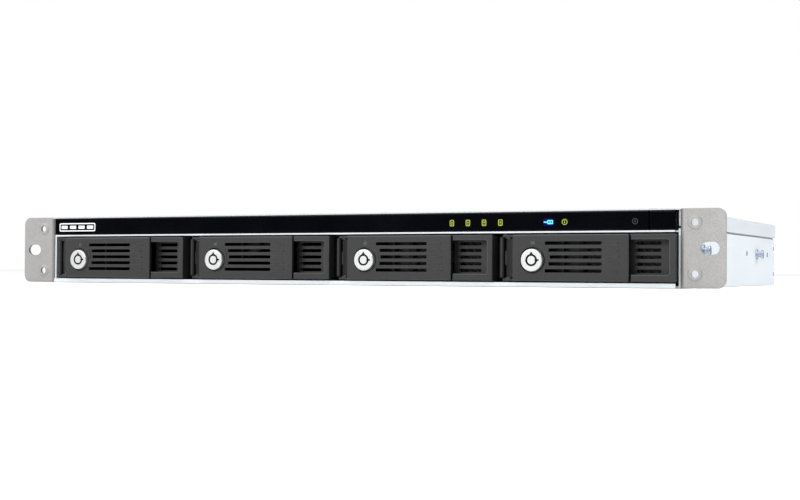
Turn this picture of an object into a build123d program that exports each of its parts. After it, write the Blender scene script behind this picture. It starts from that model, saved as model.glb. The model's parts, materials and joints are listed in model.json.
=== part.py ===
from build123d import *
import os
from math import sqrt

# A short-depth rack storage unit, one rack unit high, with four pull-out drive trays.
# Millimetres. +X is to the right of someone facing the front, +Y runs back into the unit, +Z is up.
# While a piece is drawn, y = 0 is the front face of the rack ears. A saved node is moved so that
# the origin is at the middle of the whole unit's box in X and Y, and at its bottom in Z.

# ---- driving dimensions -------------------------------------------------------------------

# Whole unit
BAYS = 4
BAY_PITCH = 107.5
HEIGHT = 44.0
BODY_DEPTH = 287.0
FRONT_PROUD = 4.0
LOCK_PROUD = 2.0

# Sheet metal
SHEET = 1.0
LID_T = 0.8
JOIN_GAP = 0.1
JOG_Z = 33.1
LID_FLANGE_Z = 34.4
LID_OVERHANG = 4.0
LID_EDGE_R = 0.75
LIP_H = 2.5
FLOOR_VENT_PITCH = 100.0
FLOOR_VENT_L = 28.0
FLOOR_VENT_W = 2.4
FLOOR_VENT_ROWS = 3
FLOOR_VENT_ROW_PITCH = 30.0
FLOOR_VENT_Y = 185.0

# Side walls, with holes placed from the rear stud
STUD_Y = (55.0, 216.0)
STUD_DROP = 0.6
STUD_REACH = 4.6
STUD_HEAD_R = 3.1
STUD_HEAD_T = 1.2
STUD_NECK_R = 2.0
STUD_FOOT_R = 3.7
STUD_SHANK_R = 1.4
SIDE_HOLE_STEPS = (-32.0, 40.3)
SIDE_HOLE_L = 4.5
SIDE_HOLE_H = 3.1
SIDE_HOLE_Z = 21.65
NOTCH_Z = (7.9, 26.4)
NOTCH_L = 5.0
NOTCH_H = 5.6
TAB_H = 3.0

# Screws
SCREW_R = 1.4
SCREW_FIT = 0.1
LID_SCREW_HEAD_R = 2.9
LID_SCREW_HEAD_H = 0.7
LID_SCREW_L = 3.2
LID_SCREW_Y = 14.0
LID_SCREW_REAR = 8.0
LID_SCREW_INSET = 17.0
LID_SCREW_FRONT_X = 29.0

# Rack ears
EAR_T = 2.0
EAR_REACH = 25.3
EAR_SIDE_L = 20.0
EAR_SCREW_Y = 12.0
EAR_SCREW_Z = (8.0, 26.0)
EAR_SCREW_HEAD_R = 2.8
EAR_SCREW_HEAD_H = 1.3
EAR_CORNER_R = 4.75
EAR_BEND_R = 3.0
SLOT_INSET = 8.75
SLOT_L = 10.3
SLOT_W = 7.1
HANDLE_INSET = 16.9
HANDLE_SPREAD = 28.4
HANDLE_HOLE_R = 2.0
DIMPLE_R = 4.4
DIMPLE_TOP_R = 3.1
DIMPLE_H = 0.9

# Front band
BAND_H = 10.9
BAND_T = 2.0
BAND_PROUD = 1.5
BAND_SIDE_GAP = 1.2
BUTTON_W = 14.5
BUTTON_TRAVEL = 1.0
BUTTON_STEM_L = 4.6
BUTTON_GAP = 0.3
BUTTON_STEM = 4.0
BAND_EDGE_R = 0.5
FRAME_WALL = 1.5
LAMP_W = 1.6

# Indicator windows: width, height and corner, placed from the band's right end
DRIVE_WINDOW = (3.6, 4.6, 0.7)
SOCKET_WINDOW = (6.6, 4.0, 0.7)
ROUND_WINDOW = (4.2, 4.2, 2.0)
DRIVE_WINDOW_INSET = 133.3
DRIVE_WINDOW_PITCH = 10.2
SOCKET_WINDOW_INSET = 73.2
STATUS_WINDOW_INSET = 63.6
SPARE_WINDOW_INSET = 22.6
WINDOW_DROP = 5.9
WINDOW_FIT = 0.05
WINDOW_T = 4.4

# Tray bays
ROOF_GAP = 0.15
ROOF_FRONT_STEP = 1.5
TRAY_TOP_GAP = 0.85
TRAY_LIFT = 0.2
GUIDE_H = 2.0
GUIDE_W = 3.0
BAY_SIDE_GAP = 0.5
TRAY_DEPTH = 160.0
CAGE_DEPTH = 165.0

# Hard drive, 3.5-inch form
DRIVE_W = 101.6
DRIVE_L = 147.0
DRIVE_H = 26.1
DRIVE_FIT = 0.25
DRIVE_FRONT = 12.0

# Lever, measured from the left edge of its bay
HINGE_X = 7.9
HINGE_Y = 2.0
PIN_R = 0.8
PIN_FIT = 0.05
BARREL_WALL = 0.8
LEVER_X0 = 12.0
LEVER_END_GAP = 1.4
LEVER_T = 2.8
LEVER_EDGE = 0.6
SLOT_ROWS = 5
SLOT_PITCH = 3.95
SLOT_H = 2.0
SLOT_END_INSET = 15.2
GROOVE_END_INSET = 5.3
GROOVE_W = 0.45
GROOVE_DEPTH = 0.5
SLOT_ARC_GAP = 4.35
SLOT_ARC_X = 22.6
SLOT_RISE = 0.5
RIB_X = 40.0

# Key lock
LOCK_X = 24.2
LOCK_DROP = 1.85
LOCK_BODY_R = 6.0
LOCK_FACE_OVER = 0.5
LOCK_FIT = 0.05
LOCK_RING_GAP = 1.15
LOCK_RING_DEPTH = 2.0
LOCK_BOSS_WALL = 1.6
KEYWAY_R = 3.5
KEY_POST_R = 2.4
KEYWAY_DEPTH = 3.2
CAM_LEN = 8.5
CAM_R = 3.4
CAM_W = 4.6
CAM_T = 1.2

# Tray front frame, measured from the left edge of its bay
FRAME_GAP = 0.6
RECESS_W = 21.6
RECESS_SIDE = 3.3
RECESS_MARGIN_LOW = 4.1
RECESS_MARGIN_TOP = 3.1
RECESS_FLOOR_Y = 4.5
RECESS_FLOOR_T = 1.5
RECESS_SLOT_L = 15.0
BAR_X0 = 2.2
BAR_X1 = 4.7
MESH_Y = 8.0
MESH_T = 0.8
MESH_REACH = 17.4
MESH_END_GAP = 3.9
HEX_PITCH = 4.8
HEX_WEB = 0.9

# Rear half
BOARD_T = 1.6
BOARD_LIFT = 5.0
BOARD_SIDE_GAP = 7.0
BOARD_W = 170.0
BOARD_FRONT_GAP = 8.0
BOARD_REAR_GAP = 2.5
CHIP_H = 2.0
NETWORK_STEPS = (12.0, 32.0)
NETWORK_W = 16.0
NETWORK_H = 13.4
USB_STEPS = (60.0, 84.0, 108.0, 132.0)
USB_W = 14.5
USB_H = 7.0
SOCKET_PROUD = 0.6
SOCKET_FIT = 0.3
RESET_INSET = 14.0
RESET_Z = 13.0
RESET_R = 1.5
FAN_SIZE = 40.0
FAN_T = 20.0
FAN_WALL = 1.0
FAN_STEP = 6.0
FAN_SIDE_GAP = 51.0
FAN_SHAFT_R = 1.5
FAN_SHAFT_FIT = 0.05
FAN_HUB_SHARE = 0.47
FAN_BLADES = 7
BLADE_TIP_GAP = 0.8
BLADE_PITCH = 40.0
PSU_W = 100.0
PSU_L = 105.0
PSU_WALL = 0.8
PSU_SIDE_GAP = 10.0
PSU_TOP_GAP = 5.0
PSU_PLUG_STEPS = (35.0, 63.0)
INLET_INSET = 20.0
INLET_Z = 16.0
INLET_W = 27.6
INLET_H = 20.4
INLET_FIT = 0.2
INLET_FLANGE = 2.1
INLET_FLANGE_T = 1.6
REAR_VENT_PITCH = 4.4
REAR_VENT_WEB = 0.9

# ---- worked-out places --------------------------------------------------------------------

INNER_HALF = BAYS * BAY_PITCH / 2
OUTER_HALF = INNER_HALF + SHEET
EAR_OUT = OUTER_HALF + EAR_REACH
EAR_FACE_Y = -(BODY_DEPTH + FRONT_PROUD + LOCK_PROUD) / 2 + FRONT_PROUD + LOCK_PROUD
FRONT_Y = -FRONT_PROUD
BAND_Y0 = -BAND_PROUD

BAND_Z1 = HEIGHT - LID_T - 2 * JOIN_GAP
BAND_Z0 = BAND_Z1 - BAND_H
BAND_HALF = INNER_HALF - BAND_SIDE_GAP
ROOF_Z1 = BAND_Z0 - ROOF_GAP
ROOF_Z0 = ROOF_Z1 - SHEET
TRAY_Z0 = SHEET + GUIDE_H + TRAY_LIFT
TRAY_Z1 = ROOF_Z0 - TRAY_TOP_GAP
TRAY_MID = (TRAY_Z0 + TRAY_Z1) / 2
TRAY_HALF_W = (BAY_PITCH - SHEET) / 2 - BAY_SIDE_GAP
RAIL_INNER = DRIVE_W / 2 + DRIVE_FIT
DRIVE_Z0 = TRAY_Z0 + 0.7

REAR_Y = BODY_DEPTH - LID_OVERHANG
BEZEL_Y1 = 8.0
BUTTON_X0 = BAND_HALF - BUTTON_W
BUTTON_MID_X = BUTTON_X0 + BUTTON_W / 2
BAND_MID_Z = (BAND_Z0 + BAND_Z1) / 2
PANEL_X1 = BUTTON_X0 - BUTTON_GAP
WINDOW_Z = BAND_Z1 - WINDOW_DROP
DRIVE_WINDOW_X = [BAND_HALF - DRIVE_WINDOW_INSET + DRIVE_WINDOW_PITCH * step for step in range(BAYS)]
WINDOWS = [(x, *DRIVE_WINDOW) for x in DRIVE_WINDOW_X]
WINDOWS.append((BAND_HALF - SOCKET_WINDOW_INSET, *SOCKET_WINDOW))
WINDOWS.append((BAND_HALF - STATUS_WINDOW_INSET, *ROUND_WINDOW))
WINDOWS.append((BAND_HALF - SPARE_WINDOW_INSET, *ROUND_WINDOW))

FRAME_X1 = BAY_PITCH - FRAME_GAP
RECESS_X1 = FRAME_X1 - RECESS_SIDE
RECESS_X0 = RECESS_X1 - RECESS_W
LEVER_X1 = RECESS_X0 - LEVER_END_GAP
SLOT_END_X = LEVER_X1 - SLOT_END_INSET
GROOVE_END_X = LEVER_X1 - GROOVE_END_INSET
MESH_X0 = SLOT_END_X - MESH_REACH
MESH_X1 = FRAME_X1 - MESH_END_GAP
LOCK_FACE_R = LOCK_BODY_R + LOCK_FACE_OVER
LOCK_RING_R = LOCK_FACE_R + LOCK_RING_GAP
SLOT_ARC_R = LOCK_RING_R + SLOT_ARC_GAP

LEVER_Z0 = TRAY_Z0 + 0.1
LEVER_Z1 = TRAY_Z1 - 0.1
LEVER_BACK = FRONT_Y + LEVER_T
SLOT_MID_Z = TRAY_MID + SLOT_RISE
LOCK_Z = SLOT_MID_Z - LOCK_DROP
BARREL_R = PIN_R + PIN_FIT + BARREL_WALL
BARREL_Z0 = TRAY_Z0 + 2.5
BARREL_Z1 = TRAY_Z1 - 2.5
LUG_R = BARREL_R + 1.0
RECESS_Z0 = TRAY_Z0 + RECESS_MARGIN_LOW
RECESS_Z1 = TRAY_Z1 - RECESS_MARGIN_TOP
SLOT_ROW_Z = [SLOT_MID_Z + SLOT_PITCH * (row - (SLOT_ROWS - 1) / 2) for row in range(SLOT_ROWS)]

STUD_Z = HEIGHT / 2 - STUD_DROP
BOARD_Z0 = SHEET + BOARD_LIFT
BOARD_Z1 = BOARD_Z0 + BOARD_T
BOARD_X = (-INNER_HALF + BOARD_SIDE_GAP, -INNER_HALF + BOARD_SIDE_GAP + BOARD_W)
BOARD_Y = (CAGE_DEPTH + BOARD_FRONT_GAP, REAR_Y - BOARD_REAR_GAP)
NETWORK_X = [BOARD_X[0] + step for step in NETWORK_STEPS]
USB_X = [BOARD_X[0] + step for step in USB_STEPS]
RESET_X = BOARD_X[1] - RESET_INSET
PSU_X1 = INNER_HALF - PSU_SIDE_GAP
PSU_X0 = PSU_X1 - PSU_W
PSU_Z1 = HEIGHT - PSU_TOP_GAP
INLET_X = PSU_X1 - INLET_INSET
FAN_BORE_R = FAN_SIZE / 2 - FAN_WALL
FAN_HUB_R = FAN_BORE_R * FAN_HUB_SHARE
FAN_MID_Z = (HEIGHT - LID_T) / 2
FAN_Y1 = REAR_Y - SHEET - 0.2
FAN_Y0 = FAN_Y1 - FAN_T
FAN_RIGHT_X = PSU_X0 - FAN_SIDE_GAP - FAN_SIZE / 2
FAN_CENTRES_X = (FAN_RIGHT_X - FAN_SIZE - FAN_STEP, FAN_RIGHT_X)
LID_SCREW_REAR_X = PSU_X0 - FAN_SIDE_GAP / 2


# ---- drawing helpers ----------------------------------------------------------------------

def block(x0, x1, y0, y1, z0, z1):
    """A box between two corners."""
    return Pos((x0 + x1) / 2, (y0 + y1) / 2, (z0 + z1) / 2) * Box(x1 - x0, y1 - y0, z1 - z0)


def front_plate(outline, y0, y1):
    """An outline drawn in X and Z, given thickness from y0 back to y1."""
    face = Plane(origin=(0, y1, 0), x_dir=(1, 0, 0), z_dir=(0, -1, 0)) * outline
    return extrude(face, amount=y1 - y0)


def side_plate(outline, x0, x1):
    """An outline drawn in Y and Z, given thickness from x0 to x1."""
    face = Plane(origin=(x0, 0, 0), x_dir=(0, 1, 0), z_dir=(1, 0, 0)) * outline
    return extrude(face, amount=x1 - x0)


def flat_plate(outline, z0, z1):
    """An outline drawn in X and Y, given thickness from z0 up to z1."""
    return extrude(Plane.XY.offset(z0) * outline, amount=z1 - z0)


def rod_y(x, z, radius, y0, y1):
    """A round bar along Y."""
    return Pos(x, (y0 + y1) / 2, z) * Rot(90, 0, 0) * Cylinder(radius, y1 - y0)


def rod_x(y, z, radius, x0, x1):
    """A round bar along X."""
    return Pos((x0 + x1) / 2, y, z) * Rot(0, 90, 0) * Cylinder(radius, x1 - x0)


def rod_z(x, y, radius, z0, z1):
    """A round bar along Z."""
    return Pos(x, y, (z0 + z1) / 2) * Cylinder(radius, z1 - z0)


def rect(x0, x1, z0, z1, corner=0.0):
    """A rectangle, with rounded corners if asked for."""
    place = Pos((x0 + x1) / 2, (z0 + z1) / 2)
    if corner > 0:
        return place * RectangleRounded(x1 - x0, z1 - z0, corner)
    return place * Rectangle(x1 - x0, z1 - z0)


def honeycomb(x0, x1, z0, z1, pitch, web, keep=None):
    """Staggered hexagons that fill a rectangle, except where keep(x, z) is false."""
    radius = (pitch - web) / sqrt(3)
    row_step = pitch * sqrt(3) / 2
    rows = int((z1 - z0 - 2 * radius) / row_step) + 1
    columns = int((x1 - x0 - 1.5 * pitch) / pitch) + 1
    left = (x0 + x1) / 2 - (columns - 0.5) * pitch / 2
    low = (z0 + z1) / 2 - (rows - 1) * row_step / 2
    cells = []
    for row in range(rows):
        for column in range(columns):
            x = left + (column + 0.5 * (row % 2)) * pitch
            z = low + row * row_step
            if keep is None or keep(x, z):
                cells.append(Pos(x, z) * Rot(0, 0, 30) * RegularPolygon(radius, 6))
    return Sketch() + cells


def group(pieces):
    """Separate solids that share one node."""
    return Compound(children=[solid for piece in pieces for solid in piece.solids()])


def edges_at(part, axis, place):
    """The edges that lie wholly at one place along an axis."""
    return part.edges().filter_by_position(axis, place - 0.01, place + 0.01)


# ---- chassis ------------------------------------------------------------------------------

def make_base_pan():
    """Floor, front lip and side walls, jogged inwards under the lid's flanges."""
    pan = block(-OUTER_HALF, OUTER_HALF, 1.6, REAR_Y, 0, SHEET)
    pan += block(-INNER_HALF + 1, INNER_HALF - 1, FRONT_Y + 2, 1.6, 0, SHEET)
    pan += block(-INNER_HALF + 1, INNER_HALF - 1, FRONT_Y + 2, FRONT_Y + 2 + SHEET, 0, LIP_H)
    tuck = JOIN_GAP + SHEET
    for side in (-1, 1):
        wall_x = sorted((side * INNER_HALF, side * OUTER_HALF))
        inner_x = sorted((side * (INNER_HALF - tuck), side * (INNER_HALF - JOIN_GAP)))
        jog_x = sorted((side * (INNER_HALF - tuck), side * OUTER_HALF))
        pan += block(*wall_x, 1.6, REAR_Y, 0, JOG_Z)
        pan += block(*jog_x, BEZEL_Y1 + 1, REAR_Y, JOG_Z - SHEET, JOG_Z)
        pan += block(*inner_x, BEZEL_Y1 + 1, REAR_Y, JOG_Z - SHEET, HEIGHT - LID_T - 0.7)
        for step in SIDE_HOLE_STEPS:
            hole_y = STUD_Y[1] + step
            hole_z = (SIDE_HOLE_Z - SIDE_HOLE_H / 2, SIDE_HOLE_Z + SIDE_HOLE_H / 2)
            pan -= block(*wall_x, hole_y - SIDE_HOLE_L / 2, hole_y + SIDE_HOLE_L / 2, *hole_z)
        for notch_z in NOTCH_Z:
            pan -= block(*wall_x, REAR_Y - NOTCH_L, REAR_Y, notch_z - NOTCH_H / 2, notch_z + NOTCH_H / 2)
        for stud_y in STUD_Y:
            pan -= rod_x(stud_y, STUD_Z, STUD_SHANK_R + SCREW_FIT, *wall_x)
        for screw_y, screw_z in ear_screw_places():
            pan -= rod_x(screw_y, screw_z, SCREW_R + SCREW_FIT, *wall_x)
    for column in range(4):
        vent_x = (column - 1.5) * FLOOR_VENT_PITCH
        for row in range(FLOOR_VENT_ROWS):
            vent_y = FLOOR_VENT_Y + row * FLOOR_VENT_ROW_PITCH
            vent = Pos(vent_x, vent_y) * SlotOverall(FLOOR_VENT_L, FLOOR_VENT_W)
            pan -= flat_plate(vent, -1, SHEET + 1)
    return pan


def make_top_cover():
    """Lid with rounded long edges, side flanges and a small rear hem."""
    z0 = HEIGHT - LID_T
    lid = block(-OUTER_HALF, OUTER_HALF, BAND_Y0 + 0.5, BODY_DEPTH, z0, HEIGHT)
    for side in (-1, 1):
        flange_x = sorted((side * (OUTER_HALF - LID_T), side * OUTER_HALF))
        lid += block(*flange_x, 1.6, BODY_DEPTH, LID_FLANGE_Z, z0)
    lid += block(-OUTER_HALF + LID_T, OUTER_HALF - LID_T, BODY_DEPTH - LID_T, BODY_DEPTH, z0 - 1.4, z0)
    long_edges = lid.edges().filter_by(Axis.Y).group_by(Axis.Z)[-1]
    lid = fillet(long_edges, LID_EDGE_R)
    for x, y in lid_screw_places():
        lid -= rod_z(x, y, SCREW_R + 3 * SCREW_FIT, z0 - 1, HEIGHT + 1)
    return lid


def lid_screw_places():
    """Where the lid is screwed down: along the front, and along the rear panel's top flange."""
    outer = INNER_HALF - LID_SCREW_INSET
    front = [(x, LID_SCREW_Y) for x in (-outer, -LID_SCREW_FRONT_X, LID_SCREW_FRONT_X, outer)]
    rear = [(x, REAR_Y - LID_SCREW_REAR) for x in (-outer, -LID_SCREW_REAR_X, LID_SCREW_REAR_X, outer)]
    return front + rear


def make_lid_screws():
    """Low round-headed screws through the lid."""
    screws = []
    for x, y in lid_screw_places():
        head = rod_z(x, y, LID_SCREW_HEAD_R, HEIGHT, HEIGHT + LID_SCREW_HEAD_H)
        head = fillet(head.edges().group_by(Axis.Z)[-1], 0.5)
        shank = rod_z(x, y, SCREW_R, HEIGHT - LID_T - LID_SCREW_L, HEIGHT)
        drive = Pos(x, y, HEIGHT + 0.5) * (Box(2.6, 0.6, 0.6) + Box(0.6, 2.6, 0.6))
        screws.append(head + shank - drive)
    return group(screws)


def make_cover_strap():
    """Cross strap behind the front band that takes the lid's front screws."""
    z1 = HEIGHT - LID_T
    half = INNER_HALF - JOIN_GAP - SHEET - 0.2
    strap = block(-half, half, BEZEL_Y1 + 1, BEZEL_Y1 + 12, z1 - SHEET, z1)
    strap += block(-half, half, BEZEL_Y1 + 11, BEZEL_Y1 + 12, ROOF_Z1, z1)
    for x, y in lid_screw_places():
        if y < REAR_Y / 2:
            strap -= rod_z(x, y, SCREW_R + SCREW_FIT, z1 - 2 * SHEET, z1 + 1)
    for step in range(-4, 5):
        mid = step * half / 5
        strap -= block(mid - 14, mid + 14, BEZEL_Y1 + 10, BEZEL_Y1 + 13, ROOF_Z1 + 2.5, z1 - 3)
    return strap


def make_bay_roof():
    """Steel sheet over the trays, whose front edge shows as a bright line under the band."""
    roof = block(-INNER_HALF, INNER_HALF, 1.6, CAGE_DEPTH, ROOF_Z0, ROOF_Z1)
    front_half = INNER_HALF - ROOF_FRONT_STEP
    roof += block(-front_half, front_half, BAND_Y0 + 0.3, 1.6, ROOF_Z0, ROOF_Z1)
    for bay in range(BAYS):
        mid = bay_left(bay) + BAY_PITCH / 2
        for step in range(3):
            y0 = 45 + 38 * step
            vent = Pos(mid, y0) * RectangleRounded(70, 16, 7.9)
            roof -= flat_plate(vent, ROOF_Z0 - 1, ROOF_Z1 + 1)
    return roof


def make_bay_dividers():
    """Upright sheets between the bays."""
    dividers = []
    for bay in range(1, BAYS):
        x = bay_left(bay)
        wall = block(x - SHEET / 2, x + SHEET / 2, BEZEL_Y1 + 8, CAGE_DEPTH, SHEET, ROOF_Z0)
        for step in range(3):
            vent = Pos(45 + 38 * step, TRAY_MID) * RectangleRounded(26, 9, 4.4)
            wall -= side_plate(vent, x - SHEET, x + SHEET)
        dividers.append(wall)
    return group(dividers)


def make_guide_rails():
    """Plastic strips that carry the trays' side rails."""
    strips = []
    for bay in range(BAYS):
        mid = bay_left(bay) + BAY_PITCH / 2
        reach = (BAY_PITCH - SHEET) / 2
        for side in (-1, 1):
            strip_x = sorted((mid + side * reach, mid + side * (reach - GUIDE_W)))
            strips.append(block(*strip_x, BEZEL_Y1 + 1, CAGE_DEPTH - 3, SHEET, SHEET + GUIDE_H))
    return group(strips)


def bay_left(bay):
    """The left edge of a bay, counted from 0 at the left."""
    return -INNER_HALF + bay * BAY_PITCH


def make_rear_panel():
    """Rear wall with its fan grilles, socket cut-outs, a top flange and side tabs."""
    z1 = HEIGHT - LID_T
    half = INNER_HALF - JOIN_GAP - SHEET
    panel = block(-half, half, REAR_Y - SHEET, REAR_Y, SHEET, z1)
    panel += block(-half, half, REAR_Y - 14, REAR_Y, z1 - SHEET, z1)
    for side in (-1, 1):
        tab_x = sorted((side * half, side * (OUTER_HALF - 0.1)))
        for notch_z in NOTCH_Z:
            panel += block(*tab_x, REAR_Y - SHEET, REAR_Y, notch_z - TAB_H / 2, notch_z + TAB_H / 2)
    for x, y in lid_screw_places():
        if y > REAR_Y / 2:
            panel -= rod_z(x, y, SCREW_R + SCREW_FIT, z1 - 2 * SHEET, z1 + 1)
    cut_y = (REAR_Y - 2 * SHEET, REAR_Y + 1)
    half_fan = FAN_SIZE / 2
    for fan_x in FAN_CENTRES_X:

        def inside(x, z, fan_x=fan_x):
            return (x - fan_x) ** 2 + (z - FAN_MID_Z) ** 2 < (FAN_BORE_R - 2.7) ** 2

        cells = honeycomb(fan_x - half_fan - 4, fan_x + half_fan + 4, FAN_MID_Z - half_fan,
                          FAN_MID_Z + half_fan, REAR_VENT_PITCH, REAR_VENT_WEB, inside)
        panel -= front_plate(cells, *cut_y)
        for x, z in fan_screw_places(fan_x):
            panel -= rod_y(x, z, 1.9, *cut_y)
    cells = honeycomb(PSU_X0 + 4, INLET_X - 18, 6, PSU_Z1 - 1, REAR_VENT_PITCH, REAR_VENT_WEB)
    panel -= front_plate(cells, *cut_y)
    half_w = INLET_W / 2 + INLET_FIT
    half_h = INLET_H / 2 + INLET_FIT
    inlet = rect(INLET_X - half_w, INLET_X + half_w, INLET_Z - half_h, INLET_Z + half_h, 0.3)
    panel -= front_plate(inlet, *cut_y)
    for x0, x1, height in socket_spans():
        hole = rect(x0 - SOCKET_FIT, x1 + SOCKET_FIT, BOARD_Z1 - SOCKET_FIT, BOARD_Z1 + height + SOCKET_FIT)
        panel -= front_plate(hole, *cut_y)
    panel -= rod_y(RESET_X, RESET_Z, RESET_R + SOCKET_FIT, *cut_y)
    return panel


# ---- rack ears and side fittings ----------------------------------------------------------

def ear_screw_places():
    """Y and Z of the screws through an ear's side flange."""
    return [(EAR_SCREW_Y, z) for z in EAR_SCREW_Z]


def make_ear(side):
    """Bent steel bracket: a front flange with a rack slot and two pressed handle holes."""
    outline = rect(OUTER_HALF, EAR_OUT, 0, EAR_T) + rect(OUTER_HALF, OUTER_HALF + EAR_T, 0, EAR_SIDE_L)
    ear = flat_plate(outline, 0, HEIGHT)
    bend = ear.edges().filter_by(Axis.Z).sort_by_distance((OUTER_HALF, 0, HEIGHT / 2))[0]
    ear = fillet(bend, EAR_BEND_R)
    crease = (OUTER_HALF + EAR_T, EAR_T, HEIGHT / 2)
    inner = ear.edges().filter_by(Axis.Z).sort_by_distance(crease)[0]
    ear = fillet(inner, EAR_BEND_R - EAR_T)
    corners = ear.edges().filter_by(Axis.Y).group_by(Axis.X)[-1]
    ear = fillet(corners, EAR_CORNER_R)
    handle_x = EAR_OUT - HANDLE_INSET
    for up in (-1, 1):
        z = HEIGHT / 2 + up * HANDLE_SPREAD / 2
        ear += Pos(handle_x, -DIMPLE_H / 2, z) * Rot(90, 0, 0) * Cone(DIMPLE_R, DIMPLE_TOP_R, DIMPLE_H)
        ear -= rod_y(handle_x, z, HANDLE_HOLE_R, -DIMPLE_H - 1, EAR_T + 1)
        ear -= Pos(handle_x, EAR_T - 0.6, z) * Rot(90, 0, 0) * Cone(3.6, 2.4, 1.2)
    slot = Pos(EAR_OUT - SLOT_INSET, HEIGHT / 2) * SlotOverall(SLOT_L, SLOT_W)
    ear -= front_plate(slot, -1, EAR_T + 1)
    sink_h = EAR_SCREW_HEAD_H + SCREW_FIT
    for y, z in ear_screw_places():
        ear -= rod_x(y, z, SCREW_R + 2 * SCREW_FIT, OUTER_HALF - 1, OUTER_HALF + EAR_T + 1)
        sink = Cone(SCREW_R + 2 * SCREW_FIT, EAR_SCREW_HEAD_R + 2 * SCREW_FIT, sink_h)
        ear -= Pos(OUTER_HALF + EAR_T - sink_h / 2, y, z) * Rot(0, 90, 0) * sink
    if side < 0:
        return mirror(ear, about=Plane.YZ)
    return ear


def make_ear_screws():
    """Countersunk screws that hold the ears to the side walls."""
    screws = []
    for side in (-1, 1):
        for y, z in ear_screw_places():
            head = Pos(OUTER_HALF + EAR_T - SCREW_FIT - EAR_SCREW_HEAD_H / 2, y, z) * Rot(0, 90, 0) * Cone(
                SCREW_R, EAR_SCREW_HEAD_R, EAR_SCREW_HEAD_H)
            shank = rod_x(y, z, SCREW_R, INNER_HALF - 0.4, OUTER_HALF + EAR_T - EAR_SCREW_HEAD_H)
            socket = Pos(OUTER_HALF + EAR_T, y, z) * (Box(1.2, 2.4, 0.6) + Box(1.2, 0.6, 2.4))
            screw = head + shank - socket
            screws.append(screw if side > 0 else mirror(screw, about=Plane.YZ))
    return group(screws)


def make_rail_studs():
    """Riveted T-shaped studs that a sliding rail's keyholes hook over."""
    studs = []
    for side in (-1, 1):
        for y in STUD_Y:
            stud = rod_x(y, STUD_Z, STUD_FOOT_R, OUTER_HALF, OUTER_HALF + 0.9)
            stud += rod_x(y, STUD_Z, STUD_NECK_R, OUTER_HALF, OUTER_HALF + STUD_REACH - 0.5)
            head_x = OUTER_HALF + STUD_REACH
            head = rod_x(y, STUD_Z, STUD_HEAD_R, head_x - STUD_HEAD_T, head_x)
            stud += fillet(head.edges().group_by(Axis.X)[-1], 0.4)
            stud += rod_x(y, STUD_Z, STUD_SHANK_R, INNER_HALF - 0.3, OUTER_HALF)
            studs.append(stud if side > 0 else mirror(stud, about=Plane.YZ))
    return group(studs)


# ---- front band ---------------------------------------------------------------------------

def window_outline(window, grow):
    """The outline of one indicator window, grown by a clearance."""
    x, width, height, corner = window
    return Pos(x, WINDOW_Z) * RectangleRounded(width + 2 * grow, height + 2 * grow, corner + grow)


def make_front_panel():
    """Glossy band across the front, with a window for each indicator."""
    panel = block(-BAND_HALF, PANEL_X1, BAND_Y0, BAND_Y0 + BAND_T, BAND_Z0, BAND_Z1)
    panel = fillet(edges_at(panel, Axis.Y, BAND_Y0), BAND_EDGE_R)
    for window in WINDOWS:
        panel -= front_plate(window_outline(window, WINDOW_FIT), BAND_Y0 - 1, BAND_Y0 + BAND_T + 1)
    return panel


def make_bezel_frame():
    """Plastic carrier behind the band, hollow for the lamp board, with the button's pocket."""
    y0 = BAND_Y0 + BAND_T
    frame = block(-BAND_HALF, BAND_HALF, y0, BEZEL_Y1, BAND_Z0, BAND_Z1)
    hollow_z = (BAND_Z0 + FRAME_WALL, BAND_Z1 - FRAME_WALL)
    frame -= block(-BAND_HALF + 2, PANEL_X1 - 2, y0 + 2, BEZEL_Y1 + 1, *hollow_z)
    frame -= block(PANEL_X1, BAND_HALF + 1, y0 - 1, y0 + 2, BAND_Z0 - 1, BAND_Z1 + 1)
    frame -= block(PANEL_X1 + 2, BAND_HALF - 2, y0 + 4, BEZEL_Y1 + 1, *hollow_z)
    for window in WINDOWS:
        frame -= front_plate(window_outline(window, WINDOW_FIT), y0 - 1, y0 + 3)
    stem = BUTTON_STEM / 2 + BUTTON_GAP
    frame -= block(BUTTON_MID_X - stem, BUTTON_MID_X + stem, y0, y0 + 5, BAND_MID_Z - stem, BAND_MID_Z + stem)
    return frame


def make_indicator_windows():
    """Smoked light windows, flush with the band."""
    tiles = []
    for window in WINDOWS:
        tiles.append(front_plate(window_outline(window, 0), BAND_Y0, BAND_Y0 + WINDOW_T))
    return group(tiles)


def make_led_board():
    """Lamp board behind the windows, with one lamp for each."""
    y0 = BAND_Y0 + WINDOW_T + 3.2
    half = LAMP_W / 2
    board_x = (DRIVE_WINDOW_X[0] - 11, PANEL_X1 - 3)
    pieces = [block(*board_x, y0, y0 + 1.2, BAND_Z0 + 2, BAND_Z1 - 2)]
    for x, *size in WINDOWS:
        pieces.append(block(x - half, x + half, y0 - 0.7, y0, WINDOW_Z - half / 2, WINDOW_Z + half / 2))
    return group(pieces)


def make_power_button():
    """Push button at the right end of the band, on a square stem."""
    y1 = BAND_Y0 + BAND_T + 2.0 - BUTTON_TRAVEL - 0.4
    cap = block(BUTTON_X0, BAND_HALF, BAND_Y0, y1, BAND_Z0 + 0.1, BAND_Z1 - 0.1)
    cap = fillet(edges_at(cap, Axis.Y, BAND_Y0), BAND_EDGE_R)
    half = BUTTON_STEM / 2
    stem_z = (BAND_MID_Z - half, BAND_MID_Z + half)
    return cap + block(BUTTON_MID_X - half, BUTTON_MID_X + half, y1, y1 + BUTTON_STEM_L, *stem_z)


# ---- one tray, drawn with x measured from the left edge of its bay -------------------------

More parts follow.
